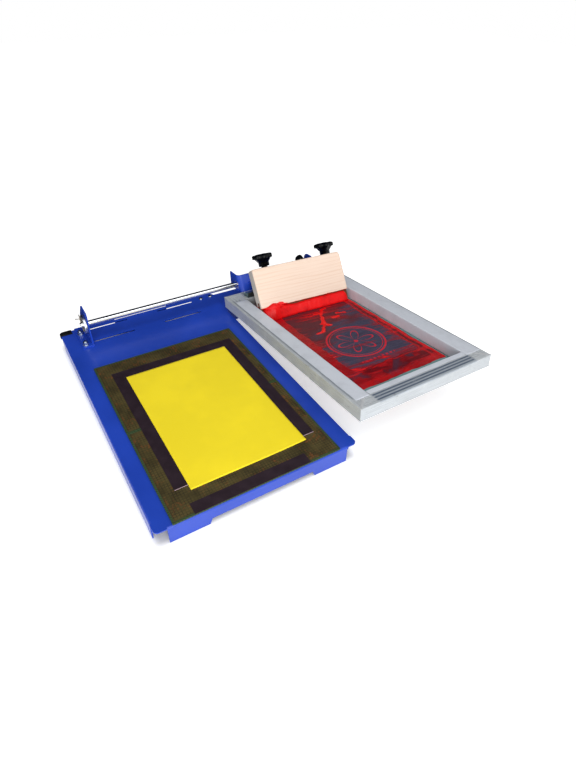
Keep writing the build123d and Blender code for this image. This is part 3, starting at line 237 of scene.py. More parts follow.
class Finish:
    """One procedural material; a method that adds a node returns the Value that the node gives."""

    def __init__(self, name, colour, roughness, metallic=0.0, **sockets):
        self.material = bpy.data.materials.new(name)
        self.material.use_nodes = True
        self.tree = self.material.node_tree
        self.shader = self.tree.nodes["Principled BSDF"]
        self.set("Base Color", colour)
        self.set("Roughness", roughness)
        self.set("Metallic", metallic)
        for key, value in sockets.items():
            self.set(key.replace("_", " "), value)

    def set(self, key, value):
        """Sets or links one socket of the shader."""
        self.feed(self.shader, key, value)

    def feed(self, node, key, value):
        """Sets or links one input of a node."""
        value = getattr(value, "socket", value)
        if isinstance(value, bpy.types.NodeSocket):
            self.tree.links.new(value, node.inputs[key])
        else:
            node.inputs[key].default_value = tuple(value) if hasattr(value, "__len__") else value

    def add(self, kind, output, inputs, **settings):
        """A node of one kind with its inputs and settings."""
        node = self.tree.nodes.new(kind)
        for key, value in settings.items():
            setattr(node, key, value)
        for key, value in inputs.items():
            self.feed(node, key, value)
        return Value(self, node.outputs[output])

    def place(self, scale=(1, 1, 1), origin=(0, 0, 0), turn=(0, 0, 0), source="Object"):
        """Coordinates of the piece, moved to an origin, turned and scaled."""
        raw = self.add("ShaderNodeTexCoord", source, {})
        local = self.add("ShaderNodeMapping", 0, {"Vector": raw, "Location": origin, "Rotation": turn},
                         vector_type="TEXTURE")
        return self.add("ShaderNodeVectorMath", 0, {0: local, 1: scale}, operation="MULTIPLY")

    def split(self, vector, axis):
        """One of the three coordinates."""
        return self.add("ShaderNodeSeparateXYZ", axis, {"Vector": vector})

    def noise(self, vector, scale, detail=3.0, rough=0.55, warp=0.0):
        """Cloudy noise, about 0.5."""
        return self.add("ShaderNodeTexNoise", 0, {"Vector": vector, "Scale": scale, "Detail": detail,
                                                   "Roughness": rough, "Distortion": warp})

    def streaks(self, scale, detail=3.0, rough=0.55, warp=0.0, **where):
        """Noise with its own scale on each axis, so that it runs along the one with the smallest."""
        return self.noise(self.place(scale, **where), 1.0, detail, rough, warp)

    def compute(self, operation, first, second=0.0, third=0.0, clamp=False):
        """One arithmetic step."""
        return self.add("ShaderNodeMath", 0, {0: first, 1: second, 2: third}, operation=operation,
                        use_clamp=clamp)

    def most(self, first, *others):
        """The largest of several values."""
        for other in others:
            first = self.compute("MAXIMUM", first, other)
        return first

    def step(self, value, low, high, start=0.0, end=1.0):
        """A smooth step: start below low, end above high."""
        return self.add("ShaderNodeMapRange", 0, {"Value": value, "From Min": low, "From Max": high,
                                                  "To Min": start, "To Max": end},
                        interpolation_type="SMOOTHSTEP")

    def below(self, value, high, soft):
        """1 below a value, 0 above it, over a soft edge."""
        return self.step(value, high - soft, high + soft, 1.0, 0.0)

    def band(self, value, low, high, soft):
        """1 between low and high, 0 outside, over a soft edge."""
        return self.step(value, low - soft, low + soft) * self.below(value, high, soft)

    def stroke(self, point, start, end):
        """Distance of a point from the line between two points of the surface."""
        way = (end[0] - start[0], end[1] - start[1], 0.0)
        square = way[0] ** 2 + way[1] ** 2
        offset = self.add("ShaderNodeVectorMath", 0, {0: point, 1: (start[0], start[1], 0.0)},
                          operation="SUBTRACT")
        share = self.add("ShaderNodeVectorMath", 1, {0: offset, 1: tuple(c / square for c in way)},
                         operation="DOT_PRODUCT")
        share = self.compute("ADD", share, 0.0, clamp=True)
        along = self.add("ShaderNodeVectorMath", 0, {0: way, "Scale": share}, operation="SCALE")
        off = self.add("ShaderNodeVectorMath", 0, {0: offset, 1: along}, operation="SUBTRACT")
        return self.add("ShaderNodeVectorMath", 1, {0: off}, operation="LENGTH")

    def mix(self, factor, first, second):
        """Blends two colours."""
        return self.add("ShaderNodeMix", 2, {0: factor, 6: first, 7: second}, data_type="RGBA")

    def tint(self, value, low, high, first, second):
        """Base colour that goes from first to second as a value rises from low to high."""
        self.set("Base Color", self.mix(self.step(value, low, high), first, second))

    def gloss(self, value, low, high, start, end):
        """Roughness that goes from start to end as a value rises from low to high."""
        self.set("Roughness", self.step(value, low, high, start, end))

    def bump(self, height, distance, strength=1.0):
        """Lets a height, in metres per unit of distance, tilt the surface."""
        self.set("Normal", self.add("ShaderNodeBump", 0, {"Height": height, "Distance": distance,
                                                           "Strength": strength}))


# ---------------------------------------------------------------- mesh helpers
class Shell:
    """Grids of points gathered into one mesh, with a UV for every point of a grid."""

    def __init__(self):
        self.points = []
        self.faces = []
        self.uvs = []
        self.count = 0

    def add(self, grid, uv=None, caps=()):
        """A grid of rows by columns of points; caps closes the first or last row with one face."""
        rows, cols = grid.shape[:2]
        index = np.arange(rows * cols).reshape(rows, cols) + self.count
        quads = np.stack([index[:-1, :-1], index[1:, :-1], index[1:, 1:], index[:-1, 1:]], -1).reshape(-1, 4)
        self.faces += quads.tolist()
        self.faces += [index[row].tolist() for row in caps]
        if uv is None:
            across, along = np.meshgrid(np.linspace(0, 1, cols), np.linspace(0, 1, rows))
            uv = np.stack([across, along], -1)
        self.points.append(grid.reshape(-1, 3))
        self.uvs.append(uv.reshape(-1, 2))
        self.count += rows * cols
        return self

    def piece(self, name, finish, closed=True):
        """The mesh object: doubles merged, and on a closed shell all faces turned outwards."""
        mesh = bpy.data.meshes.new(name)
        mesh.from_pydata(np.concatenate(self.points).tolist(), [], self.faces)
        loops = np.zeros(len(mesh.loops), np.int32)
        mesh.loops.foreach_get("vertex_index", loops)
        layer = mesh.uv_layers.new(name="Surface")
        layer.data.foreach_set("uv", np.concatenate(self.uvs)[loops].astype(np.float32).ravel())
        tidy(mesh, closed)
        return dressed(mesh, name, finish)


def tidy(mesh, closed):
    """Merges doubled points, drops faces without area and turns a closed shell outwards."""
    work = bmesh.new()
    work.from_mesh(mesh)
    bmesh.ops.remove_doubles(work, verts=work.verts, dist=NEAR)
    bmesh.ops.dissolve_degenerate(work, edges=work.edges, dist=NEAR / 2)
    if closed:
        bmesh.ops.recalc_face_normals(work, faces=work.faces)
    work.to_mesh(mesh)
    work.free()


def dressed(mesh, name, finish):
    """An object at the origin with one material and smooth faces."""
    mesh.name = name
    mesh.materials.clear()
    mesh.materials.append(finish.material)
    mesh.polygons.foreach_set("use_smooth", np.ones(len(mesh.polygons), bool))
    piece = bpy.data.objects.new(name, mesh)
    bpy.context.scene.collection.objects.link(piece)
    return piece


def sharpen(piece, angle=35.0):
    """Marks the edges that turn by more than an angle, so that flat faces shade flat."""
    piece.data.set_sharp_from_angle(angle=math.radians(angle))
    return piece


def rounded(piece, width, segments=2, angle=35.0):
    """Rounds the edges that turn by more than an angle."""
    bevel = piece.modifiers.new("Edges", "BEVEL")
    bevel.width = width
    bevel.segments = segments
    bevel.limit_method = "ANGLE"
    bevel.angle_limit = math.radians(angle)
    smooth = piece.modifiers.new("Shading", "WEIGHTED_NORMAL")
    smooth.keep_sharp = True
    return piece


def thickened(piece, thickness, offset=0.0):
    """Gives a surface its thickness: offset 0 lays it to both sides, -1 behind the surface."""
    solid = piece.modifiers.new("Thickness", "SOLIDIFY")
    solid.thickness = thickness
    solid.offset = offset
    return piece


def settle(piece, body, slot, *nodes):
    """Lets a piece ride on a body and stand for CAD nodes, which it hides; its slot is not used."""
    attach(piece, body)
    if nodes:
        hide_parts(*nodes)
    return piece


def dress(node, look, finish, edge, body, slot, segments=2):
    """A CAD node's own shape in its finish, named for its look, riding on a body.

    Its doubled points are merged, its flat faces joined and its edges rounded, or only kept sharp if edge
    is 0.
    """
    mesh = FRAME["nodes"][node].data.copy()
    while mesh.attributes.get("custom_normal"):
        mesh.attributes.remove(mesh.attributes["custom_normal"])
    work = bmesh.new()
    work.from_mesh(mesh)
    bmesh.ops.remove_doubles(work, verts=work.verts, dist=NEAR)
    bmesh.ops.dissolve_limit(work, angle_limit=FLAT, verts=work.verts, edges=work.edges)
    work.to_mesh(mesh)
    work.free()
    piece = dressed(mesh, look + "_" + node, finish)
    if edge > 0:
        rounded(piece, edge, segments)
    else:
        sharpen(piece)
    settle(piece, body, slot, node)


def repaint(node, finish):
    """Gives a CAD node its material."""
    mesh = FRAME["nodes"][node].data
    mesh.materials.clear()
    mesh.materials.append(finish.material)


def frame_on(direction):
    """Two unit vectors square to a direction."""
    direction = direction / np.linalg.norm(direction)
    guess = np.array([0.0, 0.0, 1.0]) if abs(direction[2]) < 0.9 else np.array([1.0, 0.0, 0.0])
    side = np.cross(guess, direction)
    side /= np.linalg.norm(side)
    return side, np.cross(direction, side), direction


def screw_thread(base, direction, radius, pitch, length, depth, count=32):
    """A screw thread: r = radius - depth * tooth(z / pitch - angle / 2 pi), where tooth is a triangle wave.

    The teeth fade out over the first and last turn.
    """
    side, up, axis = frame_on(np.asarray(direction, float))
    rows = max(12, int(length / pitch * 6)) + 1
    z, angle = np.meshgrid(np.linspace(0, length, rows), np.linspace(0, 2 * math.pi, count + 1),
                           indexing="ij")
    wave = np.abs(((z / pitch - angle / (2 * math.pi)) % 1.0) * 2 - 1)
    fade = np.clip(np.minimum(z, length - z) / pitch, 0, 1)
    r = radius - depth * (1 - (1 - wave) * fade)
    return base + z[..., None] * axis + (r * np.cos(angle))[..., None] * side + (r * np.sin(angle))[...,
                                                                                                    None] * up


def blob_noise(x, y, seed, scale):
    """Smooth seeded noise: a sum of sines of x and y with random directions and phases."""
    draw = np.random.default_rng(seed)
    total = np.zeros(np.broadcast(x, y).shape)
    for octave in range(1, 5):
        for _ in range(3):
            way = draw.uniform(0, 2 * math.pi)
            phase = draw.uniform(0, 2 * math.pi)
            k = 2 * math.pi * octave / scale
            total = total + np.sin(k * (x * math.cos(way) + y * math.sin(way)) + phase) / octave
    return total / 3.0


# ---------------------------------------------------------------- finishes
def paint_finish(name="blue_powder_coat", rough=0.30):
    """Satin powder coat: fine orange peel, faint scuffs and dust, a little darker in patches."""
    blue = setting("paint").blue
    finish = Finish(name, blue, rough, Specular_IOR_Level=0.5)
    spot = finish.place()
    cloud = finish.noise(spot, 7.0, 3.0)
    deep = shaded(blue, 0.88)
    light = shaded(blue, 1.08, 0.002)
    colour = finish.mix(finish.step(cloud, 0.35, 0.7), deep, light)
    dust = finish.step(finish.noise(spot, 900.0, 2.0), 0.70, 0.78)
    colour = finish.mix(dust * 0.10, colour, tone(150, 170, 220))
    finish.set("Base Color", colour)
    scuff = finish.streaks((60, 600, 60), 2.0, turn=(0, 0, 0.5))
    finish.gloss(scuff, 0.35, 0.75, rough * 0.96, rough * 1.05)
    peel = finish.noise(spot, 700.0, 2.0)
    finish.bump(peel, 0.00012, 0.3)
    return finish


def metal_finish(name, colour, roughness, grain=(40, 2200, 2200), depth=0.00003):
    """Bare metal: streaks that run along one axis, with smudges in its gloss."""
    finish = Finish(name, colour, roughness, 1.0)
    streak = finish.noise(finish.place(grain), 1.0, 3.0)
    smudge = finish.noise(finish.place(), 60.0, 3.0)
    rough = smudge * (roughness * 0.5) + roughness * 0.75
    finish.set("Roughness", rough)
    dark = shaded(colour, 0.80)
    finish.tint(streak, 0.3, 0.7, dark, colour)
    finish.bump(streak, depth, 0.5)
    return finish


def plated_finish(name, colour, roughness):
    """Bright plating: an even grain without a direction."""
    return metal_finish(name, colour, roughness, (900, 900, 900), 0.00001)


def rubber_finish(name, colour, roughness):
    """Moulded rubber or plastic with a fine grain."""
    finish = Finish(name, colour, roughness, Specular_IOR_Level=0.25)
    grain = finish.noise(finish.place(), 1500.0, 2.0)
    cloud = finish.noise(finish.place(), 80.0, 3.0)
    pale = shaded(colour, 1.4, 0.004)
    finish.tint(cloud, 0.4, 0.8, colour, pale)
    finish.gloss(cloud, 0.3, 0.8, roughness * 0.85, min(1.0, roughness * 1.15))
    finish.bump(grain, 0.00008, 0.4)
    return finish


# ---------------------------------------------------------------- stage
class PRESS_OT_stage(bpy.types.Operator):
    """White floor and surround, a low front softbox, an overhead softbox and the camera"""
    bl_idname = "press.stage"
    bl_label = "Stage"

    camera_place = (-0.4069, -0.7517, 0.6620)
    azimuth, elevation, roll = -32.0, 39.231, 1.2336
    floor_reach, floor_drop = 6.0, 0.4 * MM
    glow_near, glow_far, glow_gain, glow_edge = 0.4, 1.6, 0.6, 10 * MM
    flag_left, flag_right = -0.7, 1.3
    flag_heights = (0.0, 0.75, 0.95, 1.0)
    flag_behind = (0.065, 0.065, -0.10, -0.26)

    def execute(self, context):
        self.floor()
        self.flag()
        self.world(context)
        self.lamps(context)
        self.camera(context)
        context.scene.view_settings.view_transform = "Standard"
        return {"FINISHED"}

    def floor(self):
        """A wide plane: the camera sees it white, a little darker where the press shades it.

        Its glow grows from the press outwards, because the lamps' own light falls off there.
        """
        values = setting("stage")
        finish = Finish("pale_floor", values.floor, 0.9, Specular_IOR_Level=0.0)
        spot = finish.place()
        finish.tint(finish.noise(spot, 3.0), 0.3, 0.7, values.floor, tone(247, 248, 249))
        away = finish.add("ShaderNodeVectorMath", 1, {0: spot}, operation="LENGTH")
        glow = finish.step(away, self.glow_near, self.glow_far, values.glow, values.glow + self.glow_gain)
        under_x = finish.band(finish.split(spot, 0), BED_LOW[0], BED_HIGH[0], self.glow_edge)
        under_y = finish.band(finish.split(spot, 1), BED_LOW[1], BED_HIGH[1], self.glow_edge)
        glow = glow * (1.0 - under_x * under_y)
        finish.set("Emission Color", (1.0, 1.0, 1.0, 1.0))
        finish.set("Emission Strength", glow * self.seen(finish.tree))
        span = np.linspace(-self.floor_reach, self.floor_reach, 13)
        x, y = np.meshgrid(span, span)
        grid = np.stack([x, y, np.full_like(x, -self.floor_drop)], -1)
        Shell().add(grid).piece("floor", finish, closed=False)

    def seen(self, tree):
        """1 for rays from the camera, off a gloss or through glass, and 0 for light on the object."""
        path = tree.nodes.new("ShaderNodeLightPath")
        total = path.outputs["Is Camera Ray"]
        for name in ("Is Glossy Ray", "Is Transmission Ray"):
            join = tree.nodes.new("ShaderNodeMath")
            join.operation = "MAXIMUM"
            tree.links.new(total, join.inputs[0])
            tree.links.new(path.outputs[name], join.inputs[1])
            total = join.outputs[0]
        return total

    def world(self, context):
        """White to the camera and in reflections, and softer as light on the object."""
        world = bpy.data.worlds.new("surround")
        context.scene.world = world
        world.use_nodes = True
        tree = world.node_tree
        tree.nodes.clear()
        strength = tree.nodes.new("ShaderNodeMapRange")
        strength.inputs["To Min"].default_value = setting("stage").sky
        strength.inputs["To Max"].default_value = 1.0
        tree.links.new(self.seen(tree), strength.inputs["Value"])
        back = tree.nodes.new("ShaderNodeBackground")
        back.inputs["Color"].default_value = (1, 1, 1, 1)
        tree.links.new(strength.outputs[0], back.inputs["Strength"])
        out = tree.nodes.new("ShaderNodeOutputWorld")
        tree.links.new(back.outputs[0], out.inputs["Surface"])

    def flag(self):
        """A dark card behind the press. Only gloss sees it: it keeps the paint deep and the chrome drawn."""
        finish = Finish("dark_card", tone(26, 32, 44), 1.0, Specular_IOR_Level=0.0)
        x, height = np.meshgrid(np.linspace(self.flag_left, self.flag_right, 3), self.flag_heights)
        y = BED_HIGH[1] + np.interp(height, self.flag_heights, self.flag_behind)
        card = Shell().add(np.stack([x, y, height], -1)).piece("dark_flag", finish, closed=False)
        for ray in ("camera", "diffuse", "transmission", "shadow", "volume_scatter"):
            setattr(card, "visible_" + ray, False)

    def lamps(self, context):
        """Two soft area lamps."""
        values = setting("stage")
        for name, power, size, place, aim in (
                ("front_softbox", values.front_power, 1.6, (-0.8, -1.9, 0.40), (0.0, -0.1, 0.05)),
                ("top_softbox", values.top_power, 1.4, (0.05, -0.55, 1.8), (0.0, -0.1, 0.0))):
            data = bpy.data.lights.new(name, "AREA")
            data.energy = power
            data.size = size
            lamp = bpy.data.objects.new(name, data)
            context.scene.collection.objects.link(lamp)
            lamp.location = place
            lamp.rotation_euler = (Vector(aim) - Vector(place)).to_track_quat("-Z", "Y").to_euler()

    def camera(self, context):
        """The photograph's viewpoint, from its azimuth, elevation and roll."""
        data = bpy.data.cameras.new("camera")
        data.lens = setting("stage").lens
        data.sensor_width = 36.0
        data.clip_start, data.clip_end = 0.01, 50.0
        camera = bpy.data.objects.new("camera", data)
        context.scene.collection.objects.link(camera)
        a, e, r = map(math.radians, (self.azimuth, self.elevation, self.roll))
        back = Vector((math.sin(a) * math.cos(e), -math.cos(a) * math.cos(e), math.sin(e)))
        right = Vector((math.cos(a), math.sin(a), 0.0))
        up = back.cross(right)
        turned_right = math.cos(r) * right + math.sin(r) * up
        turned_up = -math.sin(r) * right + math.cos(r) * up
        basis = Matrix((turned_right, turned_up, back)).transposed().to_4x4()
        camera.matrix_world = Matrix.Translation(Vector(self.camera_place)) @ basis
        context.scene.camera = camera


# ---------------------------------------------------------------- bed
class PRESS_OT_bed(bpy.types.Operator):
    """Painted bed, arm and end brackets, and the rubber cap"""
    bl_idname = "press.bed"
    bl_label = "Bed"

    def execute(self, context):
        paint = paint_finish()
        for node in ("bed_plate", "extension_arm", "left_end_bracket", "right_end_bracket"):
            dress(node, "painted", paint, setting("paint").edge, "base", "bed_paint")
        cap = rubber_finish("cap_rubber", tone(15, 15, 16), 0.6)
        dress("corner_cap", "moulded", cap, 0.7 * MM, "base", "cap_rubber")
        return {"FINISHED"}


# ---------------------------------------------------------------- shaft and fasteners
class PRESS_OT_shaft(bpy.types.Operator):
    """Chromed shaft, collars, split pins, bolts and nuts"""
    bl_idname = "press.shaft"
    bl_label = "Shaft and fasteners"

    thread_radius, thread_depth = 3.15 * MM, 0.45 * MM
    thread_sunk = 0.2 * MM      # how far a thread starts inside its nut
    thread_short = 0.3 * MM     # how far it ends below the bolt's own end

    def execute(self, context):
        metal = setting("metal")
        repaint("slide_shaft", self.chrome())
        steel = metal_finish("turned_steel", metal.steel, 0.30, (2500, 60, 60))
        for node in ("left_shaft_collar", "right_shaft_collar"):
            dress(node, "turned", steel, 0.4 * MM, "base", "collar_steel")
        zinc = plated_finish("bright_zinc", metal.zinc, 0.24)
        for node, edge in (("arm_screws", 0.35), ("bracket_nuts", 0.35), ("bracket_bolts", 0.3)):
            dress(node, "plated", zinc, edge * MM, "base", "zinc_steel")
        self.threads(zinc)
        wire = plated_finish("pin_steel", tone(120, 112, 100), 0.35)
        dress("split_pins", "bent", wire, 0, "base", "zinc_steel")
        return {"FINISHED"}

    def chrome(self):
        """Hard chrome: a clean mirror with faint long smears of oil in its gloss."""
        finish = Finish("hard_chrome", setting("metal").chrome, 0.09, 1.0)
        finish.gloss(finish.streaks((3, 60, 60), 2.0), 0.35, 0.7, 0.06, 0.13)
        return finish

    def threads(self, finish):
        """A thread on the end of each bracket bolt, from its nut up."""
        pitch = setting("metal").fine_pitch
        nuts, bolts = mesh_points("bracket_nuts"), mesh_points("bracket_bolts")
        shell = Shell()
        for left in (True, False):
            for front in (True, False):
                nut = nuts[(nuts[:, 0] < 0.1) == left]
                middle = (nut[:, 1].min() + nut[:, 1].max()) / 2
                nut = nut[(nut[:, 1] < middle) == front]
                place = (nut.min(0) + nut.max(0)) / 2
                near = np.abs(bolts[:, :2] - place[:2]).max(1) < 10 * MM
                place[2] = nut[:, 2].max() - self.thread_sunk
                length = bolts[near][:, 2].max() - place[2] - self.thread_short
                grid = screw_thread(place, (0, 0, 1), self.thread_radius, pitch, length, self.thread_depth,
                                    count=24)
                shell.add(grid, caps=(0, -1))
        settle(shell.piece("bolt_threads", finish), "base", "zinc_steel")


def mesh_points(node):
    """All points of a CAD node as an n x 3 array."""
    mesh = FRAME["nodes"][node].data
    points = np.zeros(len(mesh.vertices) * 3)
    mesh.vertices.foreach_get("co", points)
    return points.reshape(-1, 3)


# ---------------------------------------------------------------- mats and stock
class PRESS_OT_mats(bpy.types.Operator):
    """Cutting mats with a printed field, register strips and the yellow card"""
    bl_idname = "press.mats"
    bl_label = "Mats and stock"

    border = 3.6 * MM
    curl_start = 0.62           # share of the way to the corner at which the card starts to curl

    def execute(self, context):
        for node in ("front_cutting_mat", "rear_cutting_mat"):
            dress(node, "printed", self.mat_finish(node), 0.4 * MM, "base", "mat")
        for side in ("left", "right", "rear", "front"):
            node = side + "_register_strip"
            dress(node, "film", self.strip_finish(node), 0.12 * MM, "base", "strip_film")
        self.card()
        return {"FINISHED"}

    def mat_finish(self, node):
        """Dark green vinyl: an olive field of cells, dark lines, orange marks and a scale at its edges."""
        values = setting("mats")
        low, high = corner(node, 0), corner(node, 1)
        finish = Finish("vinyl_" + node, values.mat, 0.55, Specular_IOR_Level=0.14)
        spot = finish.place(origin=tuple(low))
        x, y = finish.split(spot, 0), finish.split(spot, 1)
        width, depth = (high - low)[:2]
        field = finish.band(x, self.border, width - self.border, 0.2 * MM)
        field = field * finish.band(y, self.border, depth - self.border, 0.2 * MM)
        half = values.pitch / 2
        lines = finish.most(*(finish.below(finish.compute("PINGPONG", way, half), 0.62 * MM, 0.3 * MM)
                              for way in (x, y)))
        cloud = finish.noise(spot, 22.0, 4.0)
        rust = finish.noise(spot, 240.0, 3.0) * finish.noise(spot, 34.0, 3.0)
        olive = finish.mix(finish.step(cloud, 0.36, 0.66), values.cell, shaded(values.cell, 0.5))
        olive = finish.mix(finish.step(rust, 0.27, 0.40, 0.0, 0.55), olive, values.speck)
        fade = finish.step(finish.noise(spot, 60.0, 3.0), 0.35, 0.65, 0.2, 0.65)
        printed = finish.mix(lines * fade, olive, values.line)
        tick = finish.below(finish.compute("PINGPONG", x + y, half), 0.5 * MM, 0.2 * MM)
        rim = finish.mix(cloud, values.mat, shaded(values.mat, 1.9, 0.02))
        rim = finish.mix(tick * 0.75, rim, values.line)
        finish.set("Base Color", finish.mix(field, rim, printed))
        finish.gloss(cloud, 0.3, 0.7, 0.5, 0.65)
        finish.bump(finish.noise(spot, 1800.0, 2.0) - lines * field, 0.00008, 0.5)
        return finish

    def strip_finish(self, node):
        """Dark film, smudged, with a pale cut edge at the front end of the two side strips."""
        values = setting("mats")
        finish = Finish("film_" + node, values.strip, 0.45, Specular_IOR_Level=0.14)
        spot = finish.place(origin=tuple(corner(node, 0)))
        cloud = finish.noise(spot, 40.0, 4.0)
        colour = finish.mix(finish.step(cloud, 0.35, 0.7), shaded(values.strip, 0.75), values.strip)
        if node in ("left_register_strip", "right_register_strip"):
            end = finish.below(finish.split(spot, 1), 0.9 * MM, 0.2 * MM)
            colour = finish.mix(end, colour, tone(176, 150, 160))
        finish.set("Base Color", colour)
        finish.gloss(cloud, 0.3, 0.7, 0.4, 0.55)
        finish.bump(finish.noise(spot, 500.0, 2.0), 0.00006, 0.3)
        return finish

    def card(self):
        """The card: z = its resting height, plus a curl that grows with the square of the way to a corner."""
        values = setting("mats")
        low, high = corner("stock_sheet", 0), corner("stock_sheet", 1)
        x, y = np.meshgrid(np.linspace(low[0], high[0], 60), np.linspace(low[1], high[1], 90))
        toward = (x - low[0]) / (high[0] - low[0]) - (y - low[1]) / (high[1] - low[1])
        lift = values.curl * np.clip((toward - self.curl_start) / (1 - self.curl_start), 0, 1) ** 2
        ripple = 0.05 * MM * (1 + blob_noise(x, y, 11, 0.16))
        z = (low[2] + high[2]) / 2 + lift + np.maximum(ripple, 0)
        finish = Finish("yellow_card", values.card, 0.62, Specular_IOR_Level=0.3)
        fibre = finish.streaks((600, 250, 600))
        cloud = finish.noise(finish.place(), 12.0, 3.0)
        finish.tint(cloud, 0.35, 0.7, shaded(values.card, 0.93), values.card)
        finish.gloss(fibre, 0.3, 0.7, 0.55, 0.7)
        finish.bump(fibre, 0.00005, 0.4)
        piece = Shell().add(np.stack([x, y, z], -1)).piece("yellow_card", finish, closed=False)
        thickened(piece, high[2] - low[2])
        settle(piece, "base", "stock_card", "stock_sheet")


# ---------------------------------------------------------------- carriage
class PRESS_OT_carriage(bpy.types.Operator):
    """Painted carriage, jaw and bridge, its bushes, sleeve and lock"""
    bl_idname = "press.carriage"
    bl_label = "Carriage"

    def execute(self, context):
        metal = setting("metal")
        paint = paint_finish("carriage_powder_coat", 0.26)
        for node in ("carriage_bracket", "lower_jaw", "clamp_bridge"):
            dress(node, "painted", paint, setting("paint").edge, "screen_holder", "bed_paint")
        dress("lock_collar", "painted", paint, 0.2 * MM, "slider", "collar_paint")
        bronze = metal_finish("turned_bronze", metal.bronze, 0.3, (2000, 60, 60))
        for node, body in (("left_bush", "screen_holder"), ("right_bush", "screen_holder"),
                           ("lock_shoe", "lock_shoe")):
            dress(node, "turned", bronze, 0.3 * MM, body, "bronze")
        steel = metal_finish("drawn_tube", metal.steel, 0.32, (30, 1500, 1500))
        dress("slide_sleeve", "drawn", steel, 0.25 * MM, "slider", "sleeve_steel")
        plastic = rubber_finish("lock_plastic", setting("handles").plastic, 0.3)
        dress("lock_knob", "moulded", plastic, 0.3 * MM, "lock_screw", "knob_plastic")
        zinc = plated_finish("lock_zinc", metal.zinc, 0.24)
        dress("lock_stud", "plated", zinc, 0.2 * MM, "lock_screw", "zinc_steel")
        return {"FINISHED"}


class PRESS_OT_clamp(bpy.types.Operator):
    """Plated pressure bar, threaded clamp screws and star knobs"""
    bl_idname = "press.clamp"
    bl_label = "Clamp"

    thread_radius, thread_depth = 4.0 * MM, 0.6 * MM
    lobe_depth = 2.1 * MM
    lobe_square = 0.75          # below 1 it flattens the lobes and narrows the hollows between them

    def execute(self, context):
        metal = setting("metal")
        bar = metal_finish("dull_zinc", metal.bar, 0.36, (60, 1400, 1400), 0.00002)
        dress("pressure_bar", "plated", bar, 0.3 * MM, "clamp_bar", "zinc_bar")
        zinc = plated_finish("screw_zinc", metal.zinc, 0.26)
        plastic = self.plastic()
        for side in ("left", "right"):
            self.screw(side, zinc)
            self.knob(side, plastic)
        return {"FINISHED"}

    def span(self, side, node):
        """Foot of the screw's axis and how far a node reaches along it."""
        axis_point = np.array(JOINTS[side + "_knob_turn"]["pos_m"], float)
        along = (mesh_points(node) - axis_point) @ CLAMP_AXIS
        return axis_point, along.min(), along.max()

    def screw(self, side, finish):
        """A rod with an M8 thread from the pressure bar into the knob."""
        node = side + "_clamp_screw"
        point, low, high = self.span(side, node)
        grid = screw_thread(point + low * CLAMP_AXIS, CLAMP_AXIS, self.thread_radius,
                            setting("metal").coarse_pitch, high - low, self.thread_depth)
        piece = Shell().add(grid, caps=(0, -1)).piece("threaded_" + node, finish)
        settle(sharpen(piece, 50), side + "_clamp", "zinc_steel", node)

    def knob(self, side, finish):
        """A star knob: r(angle, z) = profile radius + lobe share * depth * rounded cosine of the angle.

        The lobe share is 1 on the head, fades down the shoulder and is 0 on the hub.
        """
        node = side + "_star_knob"
        point, low, high = self.span(side, node)
        rows = np.array([
            # share of the height, radius in mm, lobe share
            (0.000, 0.0, 0.0), (0.000, 4.2, 0.0), (0.000, 6.4, 0.0), (0.018, 6.9, 0.0), (0.165, 7.0, 0.0),
            (0.180, 7.4, 0.0), (0.183, 10.6, 0.0), (0.190, 11.9, 0.0), (0.208, 12.4, 0.0), (0.470, 12.5, 0.0),
            (0.483, 12.7, 0.0), (0.488, 13.3, 0.1), (0.500, 13.9, 0.1), (0.710, 18.7, 0.3),
            (0.725, 19.2, 0.4), (0.729, 20.6, 0.8), (0.740, 21.6, 1.0), (0.760, 22.1, 1.0),
            (0.935, 22.1, 1.0), (0.966, 21.7, 1.0), (0.987, 20.8, 0.9), (1.000, 19.2, 0.7),
            (1.000, 10.0, 0.1), (0.985, 8.4, 0.0), (0.975, 8.0, 0.0), (0.975, 0.0, 0.0)])
        share, radius, lobe = rows.T
        angle = np.linspace(0, 2 * math.pi, 141)
        wave = np.cos(setting("handles").lobes * angle)
        wave = np.sign(wave) * np.abs(wave) ** self.lobe_square
        r = radius[:, None] * MM + lobe[:, None] * self.lobe_depth * wave[None]
        rim = np.cos(angle)[:, None] * ACROSS + np.sin(angle)[:, None] * np.cross(CLAMP_AXIS, ACROSS)
        z = low + share * (high - low)
        grid = point + z[:, None, None] * CLAMP_AXIS + r[..., None] * rim[None]
        piece = Shell().add(grid).piece("moulded_" + node, finish)
        settle(sharpen(piece, 50), side + "_clamp", "knob_plastic", node)

    def plastic(self):
        """Black moulded plastic, glossy, with faint dust in its corners."""
        black = setting("handles").plastic
        finish = Finish("black_plastic", black, 0.26, Specular_IOR_Level=0.14)
        spot = finish.place()
        cloud = finish.noise(spot, 120.0, 3.0)
        finish.tint(cloud, 0.5, 0.85, black, tone(15, 18, 22))
        finish.gloss(cloud, 0.3, 0.8, 0.2, 0.36)
        finish.bump(finish.noise(spot, 1400.0, 2.0), 0.00003, 0.4)
        return finish


